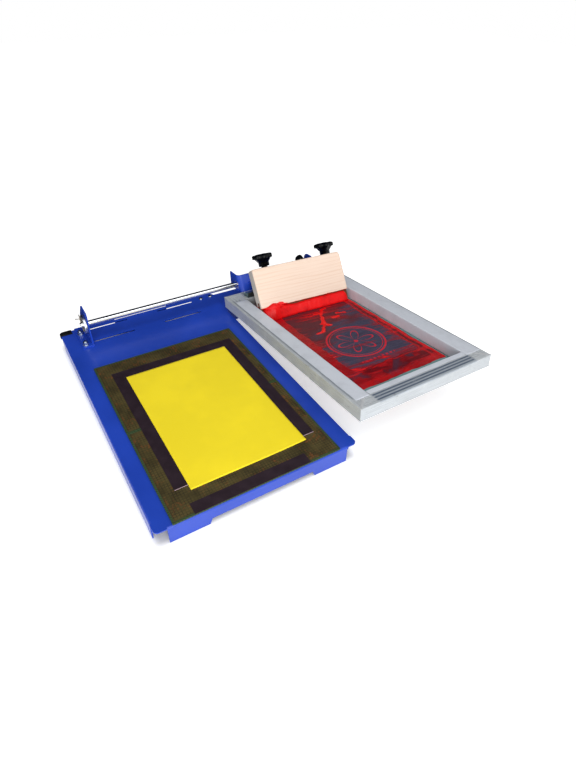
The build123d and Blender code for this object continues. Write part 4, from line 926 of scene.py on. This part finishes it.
# ---------------------------------------------------------------- screen
class PRESS_OT_rails(bpy.types.Operator):
    """Mitred aluminium rails, their ground corners and the tape"""
    bl_idname = "press.rails"
    bl_label = "Rails and tape"

    grooves = (7.0 * MM, 14.0 * MM, 21.0 * MM)
    groove_width = 2.4 * MM
    groove_depth = 0.8 * MM
    lip = 3.0 * MM
    recess = 0.35 * MM
    rib_pitch = 1.6 * MM
    rib_depth = 0.10 * MM
    chamfer = 0.4 * MM
    round_far, round_near = 0.5 * MM, 0.15 * MM                 # where a top edge's rounding starts and bends
    weld_half, weld_waver, weld_rise = 2.6, 0.7, 0.16 * MM      # half width and waver in mm
    tape_rear, tape_front = 42.0 * MM, 24.0 * MM                # how far the side tapes stop from the ends
    front_tape_edge = 26.0 * MM                                 # outer edge of the front tape
    tape_top, tape_lap = 0.24 * MM, 0.34 * MM                   # heights of the side and front tapes
    tape_thickness, tape_crease = 0.15 * MM, 0.10 * MM
    tape_off = 0.25 * MM                                        # how far a tape stands off the inner wall
    torn_length, torn_edge = 1.2 * MM, 0.4 * MM                 # waver of the front tape's ends and edge
    film_thickness = 0.03 * MM

    def execute(self, context):
        sides = {
            "front_rail": ((0, SCREEN_L), (1, 0), (0, -1), SCREEN_W),
            "rear_rail": ((SCREEN_W, 0), (-1, 0), (0, 1), SCREEN_W),
            "left_rail": ((0, 0), (0, 1), (1, 0), SCREEN_L),
            "right_rail": ((SCREEN_W, SCREEN_L), (0, -1), (-1, 0), SCREEN_L),
        }
        for node, (start, along, inward, length) in sides.items():
            self.rail(node, np.array(start, float), np.array(along, float), np.array(inward, float), length)
        self.corners()
        self.tapes()
        return {"FINISHED"}

    def section(self):
        """Outline of a rail as (inward, height): a ribbed outer face over a lip, three grooves on top."""
        lip_top = -RAIL_H + self.lip
        ribs = np.arange(lip_top + self.rib_pitch, -self.lip, self.rib_pitch / 4)
        wave = self.recess + self.rib_depth * np.cos(2 * math.pi * (ribs - ribs[0]) / self.rib_pitch)
        cut, far, near = self.chamfer, self.round_far, self.round_near
        outer = [(cut, -RAIL_H), (0.0, -RAIL_H + cut), (0.0, lip_top - 0.3 * MM), (self.recess, lip_top)]
        outer += list(zip(wave, ribs))
        outer += [(self.recess, cut - self.lip), (0.0, 0.9 * MM - self.lip), (0.0, -far), (near, -near),
                  (far, 0.0)]
        top = []
        half = self.groove_width / 2
        for groove in self.grooves:
            turn = np.linspace(0, math.pi, 7)
            top.append((groove - half - near, 0.0))
            top += list(zip(groove - half * np.cos(turn), -self.groove_depth * np.sin(turn) ** 0.5))
            top.append((groove + half + near, 0.0))
        inner = [(RAIL_W - far, 0.0), (RAIL_W - near, -near), (RAIL_W, -far), (RAIL_W, -RAIL_H + cut),
                 (RAIL_W - cut, -RAIL_H), (cut, -RAIL_H)]
        return np.array(outer + top + inner)

    def rail(self, node, start, along, inward, length):
        """A rail: its section carried from mitre to mitre; a point starts as far along as it lies inward."""
        section = self.section()
        rows = np.linspace(0, 1, 25)[:, None]
        reach = section[None, :, 0] + rows * (length - 2 * section[None, :, 0])
        uv = start + reach[..., None] * along + section[None, :, :1] * inward
        grid = on_screen(uv[..., 0], uv[..., 1], np.broadcast_to(section[None, :, 1], reach.shape))
        around = np.concatenate([[0], np.cumsum(np.linalg.norm(np.diff(section, axis=0), axis=1))])
        surface = np.stack([reach, np.broadcast_to(around, reach.shape)], -1)
        piece = Shell().add(grid, surface, caps=(0, -1)).piece("extruded_" + node, self.aluminium(node))
        sharpen(piece, 30)
        settle(piece, "screen_holder", "frame_aluminium", node)

    def aluminium(self, node):
        """Mill finish: long die lines along the UV, blotches of oxide, and painted shade along the grooves of
        the top.
        """
        base = setting("screen").aluminium
        finish = Finish("mill_aluminium_" + node, base, 0.48, 0.22, Specular_IOR_Level=0.4)
        lines = finish.streaks((14, 2600, 1), source="UV")
        blotch = finish.noise(finish.place(), 45.0, 5.0, 0.6)
        colour = finish.mix(finish.step(lines, 0.3, 0.7), shaded(base, 0.74), shaded(base, 1.14))
        colour = finish.mix(finish.step(blotch, 0.5, 0.75, 0.0, 0.45), colour, tone(206, 210, 212))
        stain = finish.step(finish.streaks((70, 70, 240), 4.0), 0.62, 0.76, 0.0, 0.5)
        colour = finish.mix(stain, colour, tone(120, 122, 118))
        turn = Matrix((ACROSS, -FORWARD, NORMAL)).transposed().to_euler()
        spot = finish.place(origin=tuple(ORIGIN), turn=tuple(turn))
        u, back, h = (finish.split(spot, axis) for axis in range(3))
        inward = {"front_rail": back + SCREEN_L, "rear_rail": back * -1.0, "left_rail": u,
                  "right_rail": SCREEN_W - u}[node]
        # Strength of the painted groove shade: stronger on the front and rear rails than on the two sides.
        if node in ("front_rail", "rear_rail"):
            inside = finish.band(u, RAIL_W + 3 * MM, SCREEN_W - RAIL_W + 1 * MM, 3 * MM)
            depth = 0.92
        else:
            inside = finish.band(back, -SCREEN_L + RAIL_W - 6 * MM, -RAIL_W + 6 * MM, 3 * MM)
            depth = 0.45
        # Painted shade: a blue-grey darkening in and up to 3 mm beside each groove of the top, stopping short
        # of the mitres.
        groove_shade = finish.most(*(finish.step(abs(inward - groove), 0.8 * MM, 3.0 * MM, 1.0, 0.0)
                             for groove in self.grooves))
        # Painted shade: a dark line along the right rail's outer top edge.
        if node == "right_rail":
            groove_shade = finish.most(groove_shade, finish.step(inward, 1.6 * MM, 2.8 * MM, 1.6, 0.0))
        groove_shade = groove_shade * inside * finish.step(h, -3.2 * MM, -2.2 * MM) * finish.step(blotch, 0.2, 0.5, 0.6, 1.0)
        # Painted shade: the front rail's top, from its outer edge to just past its last groove, is darker and
        # bluer than the other rails.
        if node == "front_rail":
            film = finish.below(inward, self.grooves[-1] + 3 * MM, 1 * MM) * inside
            film = film * finish.step(h, -3.2 * MM, -2.2 * MM, 0.0, 0.4)
            colour = finish.mix(film, colour, tone(122, 136, 154))
        finish.set("Base Color", finish.mix(groove_shade * depth, colour, tone(78, 92, 112)))
        finish.gloss(blotch, 0.3, 0.75, 0.38, 0.58)
        finish.bump(lines, 0.00004, 0.5)
        return finish

    def corners(self):
        """Weld metal ground flush across the four mitres: narrow wavy strips just above the rails."""
        finish = Finish("ground_weld", setting("screen").aluminium, 0.5, 0.15, Specular_IOR_Level=0.3)
        cloud = finish.noise(finish.place(), 500.0, 3.0)
        finish.set("Base Color", finish.mix(cloud, tone(168, 172, 176), tone(206, 208, 210)))
        finish.bump(cloud, 0.00005, 0.4)
        t, w = np.meshgrid(np.linspace(0.02, 0.98, 40), np.linspace(-1, 1, 7), indexing="ij")
        lift = self.weld_rise * (1 - w ** 2) - self.film_thickness
        shell = Shell()
        for number, (u, v, su, sv) in enumerate(((0, 0, 1, 1), (SCREEN_W, 0, -1, 1), (0, SCREEN_L, 1, -1),
                                                 (SCREEN_W, SCREEN_L, -1, -1))):
            wander = blob_noise(t * 0.05, np.sign(w) * 0.4, 31 + number, 0.02)
            edge = (self.weld_half + self.weld_waver * wander) * MM * w * 0.7071
            shell.add(on_screen(u + su * (t * RAIL_W + edge), v + sv * (t * RAIL_W - edge), lift))
        piece = shell.piece("ground_corners", finish, closed=False)
        settle(thickened(piece, self.film_thickness, -1.0), "screen_holder", "frame_aluminium")

    def tapes(self):
        """Tape on the inner part of three rails, down their inner walls, with uneven edges and creases."""
        finish = self.tape_finish()
        self.side_tape("left_tape", corner("left_tape", 0)[0] - ORIGIN[0], RAIL_W, 1, finish)
        self.side_tape("right_tape", corner("right_tape", 1)[0] - ORIGIN[0], SCREEN_W - RAIL_W, -1, finish)
        self.front_tape(finish)

    def side_tape(self, name, u_out, u_in, sign, finish):
        """Rows run along the rail; columns go over its top from the outer edge, round the corner and down.

        On the wall the rows stop at the neighbouring rails' own walls.
        """
        flat = np.linspace(0, 1, 22)[None]
        down = np.linspace(0, 1, 12)[None, 1:]
        along = np.linspace(0, 1, 160)[:, None]
        seed = 5 if sign > 0 else 9
        wobble = sign * 0.5 * MM * blob_noise(along * 0.5, 0.0, seed, 0.12)
        top_u = u_out + wobble + flat * (u_in - u_out - wobble) + sign * 0.22 * MM * flat ** 12
        wall_u = np.full((along.size, down.size), u_in + sign * self.tape_off)
        u = np.concatenate([top_u, wall_u], 1)
        drop = np.concatenate([np.zeros_like(flat), down], 1) * (RAIL_H - 0.5 * MM)
        on_wall = np.arange(u.shape[1]) >= flat.size
        v_low = np.where(on_wall, max(RAIL_W, self.tape_rear), self.tape_rear)
        v_high = SCREEN_L - np.where(on_wall, max(RAIL_W, self.tape_front), self.tape_front)
        v = v_low + along * (v_high - v_low)
        crease = self.tape_crease * np.maximum(blob_noise(u * 3, v, seed + 1, 0.05) + 1, 0.0)
        h = self.tape_top - drop + crease * ~on_wall
        u = u + sign * crease * on_wall
        piece = Shell().add(on_screen(u, v, h), np.stack([u, v], -1)).piece("creased_" + name, finish, False)
        settle(thickened(piece, self.tape_thickness), "screen_holder", "frame_tape", name)

    def front_tape(self, finish):
        """A strip along the inner part of the front rail's top, with torn ends."""
        start, end = (corner("front_tape", which)[0] - ORIGIN[0] for which in (0, 1))
        v_out, v_in = SCREEN_L - self.front_tape_edge, SCREEN_L - RAIL_W
        s, t = np.meshgrid(np.linspace(0, 1, 120), np.linspace(0, 1, 16))
        torn = self.torn_length * blob_noise(t * 0.04, 0.0, 21, 0.012)
        u = start + torn * (1 - s) + s * (end - start - torn)
        v = v_in + t * (v_out - v_in + self.torn_edge * blob_noise(s * 0.25, 0.0, 22, 0.09))
        h = self.tape_lap + self.tape_crease * np.maximum(0.0, blob_noise(u, v * 3, 23, 0.05))
        piece = Shell().add(on_screen(u, v, h), np.stack([u, v], -1))
        piece = piece.piece("creased_front_tape", finish, closed=False)
        settle(thickened(piece, self.tape_thickness), "screen_holder", "frame_tape", "front_tape")

    def tape_finish(self):
        """Pale film with long creases, grey smudges and a few pink stains of ink."""
        tape = setting("screen").tape
        finish = Finish("pale_tape", tape, 0.42, Specular_IOR_Level=0.35)
        smudge = finish.noise(finish.place(), 30.0, 5.0, 0.6)
        colour = finish.mix(finish.step(smudge, 0.42, 0.75), tape, shaded(tape, 0.86))
        stain = finish.step(finish.streaks((18, 60, 18), 5.0, 0.65), 0.70, 0.84, 0.0, 0.3)
        finish.set("Base Color", finish.mix(stain, colour, tone(206, 150, 165)))
        finish.gloss(smudge, 0.3, 0.7, 0.34, 0.52)
        finish.bump(finish.streaks((40, 9, 40), 4.0, 0.6, 0.6), 0.0006, 0.5)
        return finish


class PRESS_OT_mesh(bpy.types.Operator):
    """Stretched printing mesh with its stencil and smeared ink"""
    bl_idname = "press.mesh"
    bl_label = "Printing mesh"

    drop, sag, thickness = 0.2 * MM, 0.15 * MM, 0.3 * MM
    # edges of the stencil's field and of the ink round it, from the screen's left side and rear
    field_left, field_right = 80.0 * MM, 241.0 * MM
    field_front = 388.0 * MM
    ink_left, ink_right = 60.0 * MM, 261.0 * MM
    ink_front = 441.0 * MM
    # points, in mm, of the chain that the spilt ink follows, and the ends of its drops
    runs = ((186, 138), (176, 140), (160, 160), (152, 178), (140, 204), (122, 226), (106, 228))
    drips = (((138, 196), (152, 210)), ((196, 172), (212, 178)), ((150, 150), (166, 152)),
             ((176, 186), (190, 184)))
    emblem = (155.0 * MM, 296.0 * MM)
    emblem_radius = 62.0 * MM
    weave = 9000.0              # radians per metre of the mesh's threads

    def execute(self, context):
        u0, u1 = (corner("screen_mesh", which)[0] - ORIGIN[0] for which in (0, 1))
        v0, v1 = u0, SCREEN_L - u0
        v, u = np.meshgrid(np.linspace(v0, v1, 140), np.linspace(u0, u1, 80), indexing="ij")
        reach_u = np.clip((u - RAIL_W) / (SCREEN_W - 2 * RAIL_W), 0, 1)
        reach_v = np.clip((v - RAIL_W) / (SCREEN_L - 2 * RAIL_W), 0, 1)
        h = -RAIL_H - self.drop - self.sag * np.sin(math.pi * reach_u) * np.sin(math.pi * reach_v)
        piece = Shell().add(on_screen(u, v, h), np.stack([u, v], -1))
        piece = piece.piece("printing_mesh", self.stencil(), closed=False)
        settle(thickened(piece, self.thickness), "screen_holder", "screen_fabric", "screen_mesh")
        u1 - u0
        v1 - v0
        return {"FINISHED"}

    def stencil(self):
        """Emulsion, a round emblem with petals, bands of ink round the field and streaks along the squeegee.

        UV holds (u, v) in metres. The rear and left of the field carry a brown film, which thins out to
        the right and to the front.
        """
        values = setting("screen")
        finish = Finish("stencil_and_ink", values.emulsion, 0.5, Specular_IOR_Level=0.22)
        step, mix = finish.step, finish.mix
        spot = finish.place(source="UV")
        u, v = finish.split(spot, 0), finish.split(spot, 1)
        quick = finish.streaks((70, 70, 1), 3.0, source="UV") - 0.5
        waver = (finish.streaks((16, 16, 1), 2.0, source="UV") - 0.5) * (20.0 * MM) + quick * (6.0 * MM)
        uw, vw = u + waver, v + waver
        soft = 1.2 * MM
        inked = finish.band(u + waver * 0.4, self.ink_left, self.ink_right, soft)
        inked = inked * finish.below(v + waver * 0.5, self.ink_front, soft)
        field = finish.band(uw, self.field_left, self.field_right, soft)
        field = field * finish.below(vw, self.field_front, soft)
        fine = finish.streaks((26, 420, 1), 4.0, 0.6, 0.3, source="UV", turn=(0, 0, 0.10))
        broad = finish.streaks((9, 22, 1), 4.0, 0.6, 0.5, source="UV")
        streak = finish.streaks((12, 90, 1), 4.0, 0.6, 0.6, source="UV", turn=(0, 0, 0.12))
        film = broad + step(u * 0.6 + v, 0.22, 0.40, 0.26, -0.12)
        pale = mix(step(fine, 0.35, 0.7, 0.0, 0.7), values.emulsion, tone(50, 42, 60))
        wash = mix(step(film, 0.42, 0.62, 0.0, 0.9), pale, tone(88, 34, 40))
        ends = finish.most(step(v, 0.13, 0.24, 0.17, 0.0), step(v, 0.345, 0.39, 0.0, 0.2),
                           step(u, 0.075, 0.11, 0.16, 0.0), step(u, 0.215, 0.24, 0.0, 0.12))
        amount = broad * 0.5 + streak + ends
        wash = mix(step(amount, 0.78, 0.98, 0.0, 0.85), wash, tone(140, 18, 30))
        wash = mix(step(amount, 0.98, 1.08, 0.0, 0.9), wash, values.ink)
        drawn = mix(self.motif(finish, u, v) * 0.92, wash, tone(206, 30, 48))
        thick = finish.streaks((14, 60, 1), 4.0, 0.6, 0.8, source="UV", origin=(0.3, 0.1, 0))
        patch = finish.streaks((18, 18, 1), 3.0, 0.6, 0.8, source="UV", origin=(0.1, 0.7, 0))
        shade = finish.most(step(thick, 0.38, 0.58, 0.3, 1.0), step(patch, 0.42, 0.58))
        shade = shade * step(v, 0.12, 0.17, 0.1, 1.0) * step(u, 0.08, 0.10, 0.55, 1.0)
        band = mix(shade * 0.95, tone(196, 14, 24), values.dark_ink)
        gap = step(patch, 0.52, 0.62) * step(v, 0.385, 0.40)
        band = mix(gap * 0.7, band, tone(70, 48, 66))
        edge = finish.band(vw, self.field_front + 1.5 * MM, self.field_front + 6.0 * MM, soft)
        crest = finish.most(finish.band(uw, self.ink_right - 8 * MM, self.ink_right, soft) * 0.85,
                            finish.band(uw, self.field_right, self.field_right + 5 * MM, soft) * 0.5,
                            edge * step(thick, 0.35, 0.6, 0.65, 0.2),
                            finish.band(v, self.ink_front - 16 * MM, self.ink_front, 4 * MM) * 0.5)
        band = mix(crest * 0.8, band, values.ink)
        colour = mix(field, mix(inked, values.bare_mesh, band), drawn)
        splash = self.splash(finish, spot, quick)
        finish.set("Base Color", mix(splash, colour, values.ink))
        wet = finish.most(step(amount, 0.85, 1.0), inked - field, splash)
        finish.gloss(wet, 0.2, 0.9, 0.55, 0.34)
        weave = finish.compute("SINE", u * self.weave) * finish.compute("SINE", v * self.weave)
        finish.bump(weave * 0.05 + streak * (wet + 0.15) + crest + splash, 0.0009, 0.6)
        return finish

    def splash(self, finish, spot, quick):
        """1 where ink ran over the stencil: within a wavering width of a chain of points and of drops."""
        nearest = 1.0
        for ends in (*zip(self.runs[:-1], self.runs[1:]), *self.drips):
            start, end = np.array(ends) * MM
            nearest = finish.compute("MINIMUM", nearest, finish.stroke(spot, start, end))
        return finish.below(nearest + quick * (14.0 * MM), 3.5 * MM, 0.9 * MM)

    def motif(self, finish, u, v):
        """1 on the lines of the emblem: two rings, a rosette, its heart and a row of short bars.

        A ring is where |radius - its own| is small, and the rosette of six petals is where the radius is
        near a * |cos(3 angle)|.
        """
        du, dv = u - self.emblem[0], v - self.emblem[1]
        radius = finish.compute("SQRT", du * du + dv * dv)
        cosine = finish.compute("COSINE", finish.compute("ARCTAN2", dv, du) * 3.0)
        outer = finish.band(radius, self.emblem_radius - 3.8 * MM, self.emblem_radius, 0.7 * MM)
        inner = finish.band(radius, self.emblem_radius - 8.5 * MM, self.emblem_radius - 7.3 * MM, 0.5 * MM)
        petals = finish.below(abs(radius - abs(cosine) * (self.emblem_radius * 0.68)), 1.9 * MM, 0.6 * MM)
        heart = finish.below(radius, 4.5 * MM, 0.7 * MM)
        bars = finish.below(finish.compute("PINGPONG", du, 5.0 * MM), 2.6 * MM, 0.5 * MM)
        bars = bars * finish.band(dv, 71.0 * MM, 75.5 * MM, 0.6 * MM)
        bars = bars * finish.band(du, -40.0 * MM, 40.0 * MM, 0.5 * MM)
        return finish.most(outer, inner, petals, heart, bars)


# ---------------------------------------------------------------- squeegee
class PRESS_OT_squeegee(bpy.types.Operator):
    """Pine handle, inked rubber blade and the roll of ink before it"""
    bl_idname = "press.squeegee"
    bl_label = "Squeegee"

    lean = math.radians(30.0)
    turn = math.radians(4.7)
    left, rear = 39.5 * MM, 109.0 * MM
    width, thickness, height = 220.0 * MM, 28.0 * MM, 88.0 * MM
    blade_free = 21.0 * MM
    blade_front, blade_thick = 9.0 * MM, 8.0 * MM
    mesh_gap = 0.3 * MM                             # between the blade's rear corner and the mesh
    roll_height, roll_waver = 20.5 * MM, 1.4 * MM
    climb_height, climb_at, climb_width = 12.0 * MM, 0.13, 0.10     # where the ink climbs over the handle
    climb_stand = 1.4 * MM                          # how far it stands before the handle there
    roll_inset = 1.5 * MM                           # how far the roll stops from the handle's ends
    roll_lift, roll_sunk = 0.35 * MM, 1.0 * MM      # over the mesh, and into the blade
    roll_top = 20.0 * MM                            # height over the handle's lower edge that it may reach

    def basis(self):
        """Origin and axes of the handle: across, through its thickness and up its height.

        It is turned about the screen's normal, then leant back about its own lower edge.
        """
        across = math.cos(self.turn) * ACROSS + math.sin(self.turn) * FORWARD
        ahead = -math.sin(self.turn) * ACROSS + math.cos(self.turn) * FORWARD
        up = math.cos(self.lean) * NORMAL - math.sin(self.lean) * ahead
        through = -math.cos(self.lean) * ahead - math.sin(self.lean) * NORMAL
        origin = on_screen(self.left, self.rear, self.foot_height())
        return origin, across, through, up

    def foot_height(self):
        """Height of the handle's lower front edge: the blade's rear corner just clears the mesh."""
        drop = self.blade_free * math.cos(self.lean) + (self.blade_front
                                                        + self.blade_thick) * math.sin(self.lean)
        return -RAIL_H + self.mesh_gap + drop

    def execute(self, context):
        origin, across, through, up = self.basis()
        turn = Matrix((across, through, up)).transposed().to_euler()
        wood = self.wood(tuple(origin), tuple(turn))
        dress("squeegee_handle", "pine", wood, 1.0 * MM, "squeegee", "squeegee_wood", 3)
        rubber = rubber_finish("blade_rubber", setting("handles").rubber, 0.5)
        dress("squeegee_blade", "moulded", rubber, 0.3 * MM, "squeegee", "squeegee_rubber")
        self.ink_roll(across, through, up)
        return {"FINISHED"}

    def wood(self, origin, turn):
        """Pine: growth lines along the handle, warped by slow noise, grey ends in painted shade, red smears
        at its foot.
        """
        values = setting("handles")
        finish = Finish("planed_pine", values.wood, 0.55)
        where = {"origin": origin, "turn": turn}
        spot = finish.place(**where)
        x, y, z = (finish.split(spot, axis) for axis in range(3))
        rings = finish.streaks((2.0, 10.0, 16.0), 2.0, **where) * 9.0 + (z * 260.0 + y * 150.0)
        late = finish.step(finish.compute("PINGPONG", rings, 1.0), 0.45, 1.0)
        fine = finish.streaks((14.0, 1100.0, 1100.0), 3.0, 0.6, **where)
        stand = finish.step(finish.streaks((5.0, 60.0, 60.0), 2.0, **where), 0.35, 0.65, 0.08, 0.42)
        colour = finish.mix(late * stand, values.wood, values.grain)
        colour = finish.mix(finish.step(fine, 0.45, 0.8, 0.0, 0.45), colour, tone(206, 170, 146))
        # Painted shade on the handle's two end faces: greys them, partly the colour of end grain.
        ends = finish.below(x, 0.35 * MM, 0.3 * MM)
        ends = ends + finish.step(x, self.width - 0.6 * MM, self.width - 0.2 * MM)
        colour = finish.mix(ends * 0.85, colour, tone(196, 192, 186))
        smear = (finish.streaks((34.0, 34.0, 60.0), 4.0, **where) - 0.40) * (36.0 * MM)
        stained = smear * finish.step(x, 30.0 * MM, 80.0 * MM, 1.0, 0.15) - z
        stained = finish.step(stained, -0.4 * MM, 0.6 * MM)
        finish.set("Base Color", finish.mix(stained, colour, setting("screen").ink))
        finish.gloss(fine, 0.3, 0.7, 0.5, 0.66)
        finish.bump(fine + late * 0.6, 0.00012, 0.5)
        return finish

    def ink_roll(self, across, through, up):
        """The roll of ink pushed before the blade.

        Over the mesh, at height z, its back lies just inside the blade's front, and its face lies
        reach * sqrt(1 - (z / tall) ^ 2) before that. Reach and tall wander along the blade, and at the left
        the ink climbs over the handle's lower edge.
        """
        sine, cosine = math.sin(self.lean), math.cos(self.lean)
        ahead = -through * cosine - up * sine
        foot, foot_z = self.blade_free * sine - self.blade_front * cosine, self.blade_thick * sine
        back, back_z = -self.blade_front * cosine, foot_z + self.blade_free * cosine
        lip_z = back_z + self.blade_front * sine
        top_z, top = lip_z + self.roll_top, -self.roll_top * math.tan(self.lean)
        s = np.linspace(0, 1, 260)[:, None]
        phi = np.linspace(0, math.pi / 2, 20)[None]
        wander = blob_noise(s * 0.22, 0.0, 41, 0.09)
        fine = blob_noise(s * 0.22, phi * 0.01, 43, 0.022)
        ends = np.clip(np.minimum(s, 1 - s) / 0.03, 0, 1) ** 0.5
        climb = np.exp(-((s - self.climb_at) / self.climb_width) ** 2)
        tall = self.roll_height + self.roll_waver * wander + self.climb_height * climb
        z = tall * (0.35 + 0.65 * ends) * np.sin(phi)
        reach = 1 - 0.5 * s + 0.10 * wander + 0.04 * fine + 0.35 * climb
        reach = setting("screen").bead * reach * ends + 0.4 * MM
        under = np.interp(z, [0.0, foot_z, back_z, lip_z, top_z], [foot, foot, back, 0.0, top])
        sleek = np.interp(z, [0.0, lip_z, top_z], [foot, self.climb_stand, self.climb_stand + top])
        face = under * (1 - climb) + np.maximum(sleek, under) * climb + reach * np.cos(phi) + 0.15 * MM * fine
        x = np.concatenate([face, under[:, ::-1] - self.roll_sunk], 1)[..., None]
        z = np.concatenate([z, z[:, ::-1]], 1)[..., None] + self.roll_lift
        along = (s * (self.width - 2 * self.roll_inset) + self.roll_inset)[..., None]
        grid = on_screen(self.left, self.rear, -RAIL_H) + along * across + x * ahead + z * NORMAL
        ink = setting("screen").ink
        finish = Finish("wet_ink", ink, 0.32, Specular_IOR_Level=0.2)
        cloud = finish.noise(finish.place(), 60.0, 4.0)
        finish.tint(cloud, 0.45, 0.85, ink, tone(190, 10, 16))
        finish.gloss(cloud, 0.3, 0.7, 0.3, 0.45)
        finish.bump(finish.noise(finish.place(), 160.0, 3.0), 0.0004, 0.3)
        closed = np.concatenate([grid, grid[:, :1]], 1)
        piece = Shell().add(closed, caps=(0, -1)).piece("ink_roll", finish)
        settle(piece, "squeegee", "screen_fabric")


# ---------------------------------------------------------------- panel and running
OPERATORS = (PRESS_OT_stage, PRESS_OT_bed, PRESS_OT_shaft, PRESS_OT_mats, PRESS_OT_carriage, PRESS_OT_clamp,
             PRESS_OT_rails, PRESS_OT_mesh, PRESS_OT_squeegee)


class PRESS_PT_panel(bpy.types.Panel):
    """Lists the operators and their settings"""
    bl_idname = "PRESS_PT_panel"
    bl_label = "Screen printing press"
    bl_space_type = "VIEW_3D"
    bl_region_type = "UI"
    bl_category = "Press"

    def draw(self, context):
        for operator in OPERATORS:
            self.layout.operator(operator.bl_idname)
        for name, group in SETTINGS.items():
            box = self.layout.box()
            box.label(text=name.capitalize())
            for prop in group.__annotations__:
                box.prop(setting(name), prop)


def register():
    """Registers the settings, operators and panel."""
    for name, group in SETTINGS.items():
        bpy.utils.register_class(group)
        setattr(bpy.types.Scene, "press_" + name, PointerProperty(type=group))
    for operator in OPERATORS:
        bpy.utils.register_class(operator)
    bpy.utils.register_class(PRESS_PT_panel)


def unregister():
    """Takes all of it away again."""
    bpy.utils.unregister_class(PRESS_PT_panel)
    for operator in reversed(OPERATORS):
        bpy.utils.unregister_class(operator)
    for name, group in SETTINGS.items():
        delattr(bpy.types.Scene, "press_" + name)
        bpy.utils.unregister_class(group)


def main():
    """Builds every piece."""
    register()
    for operator in OPERATORS:
        group, action = operator.bl_idname.split(".")
        getattr(getattr(bpy.ops, group), action)()


if __name__ == "__main__":
    main()
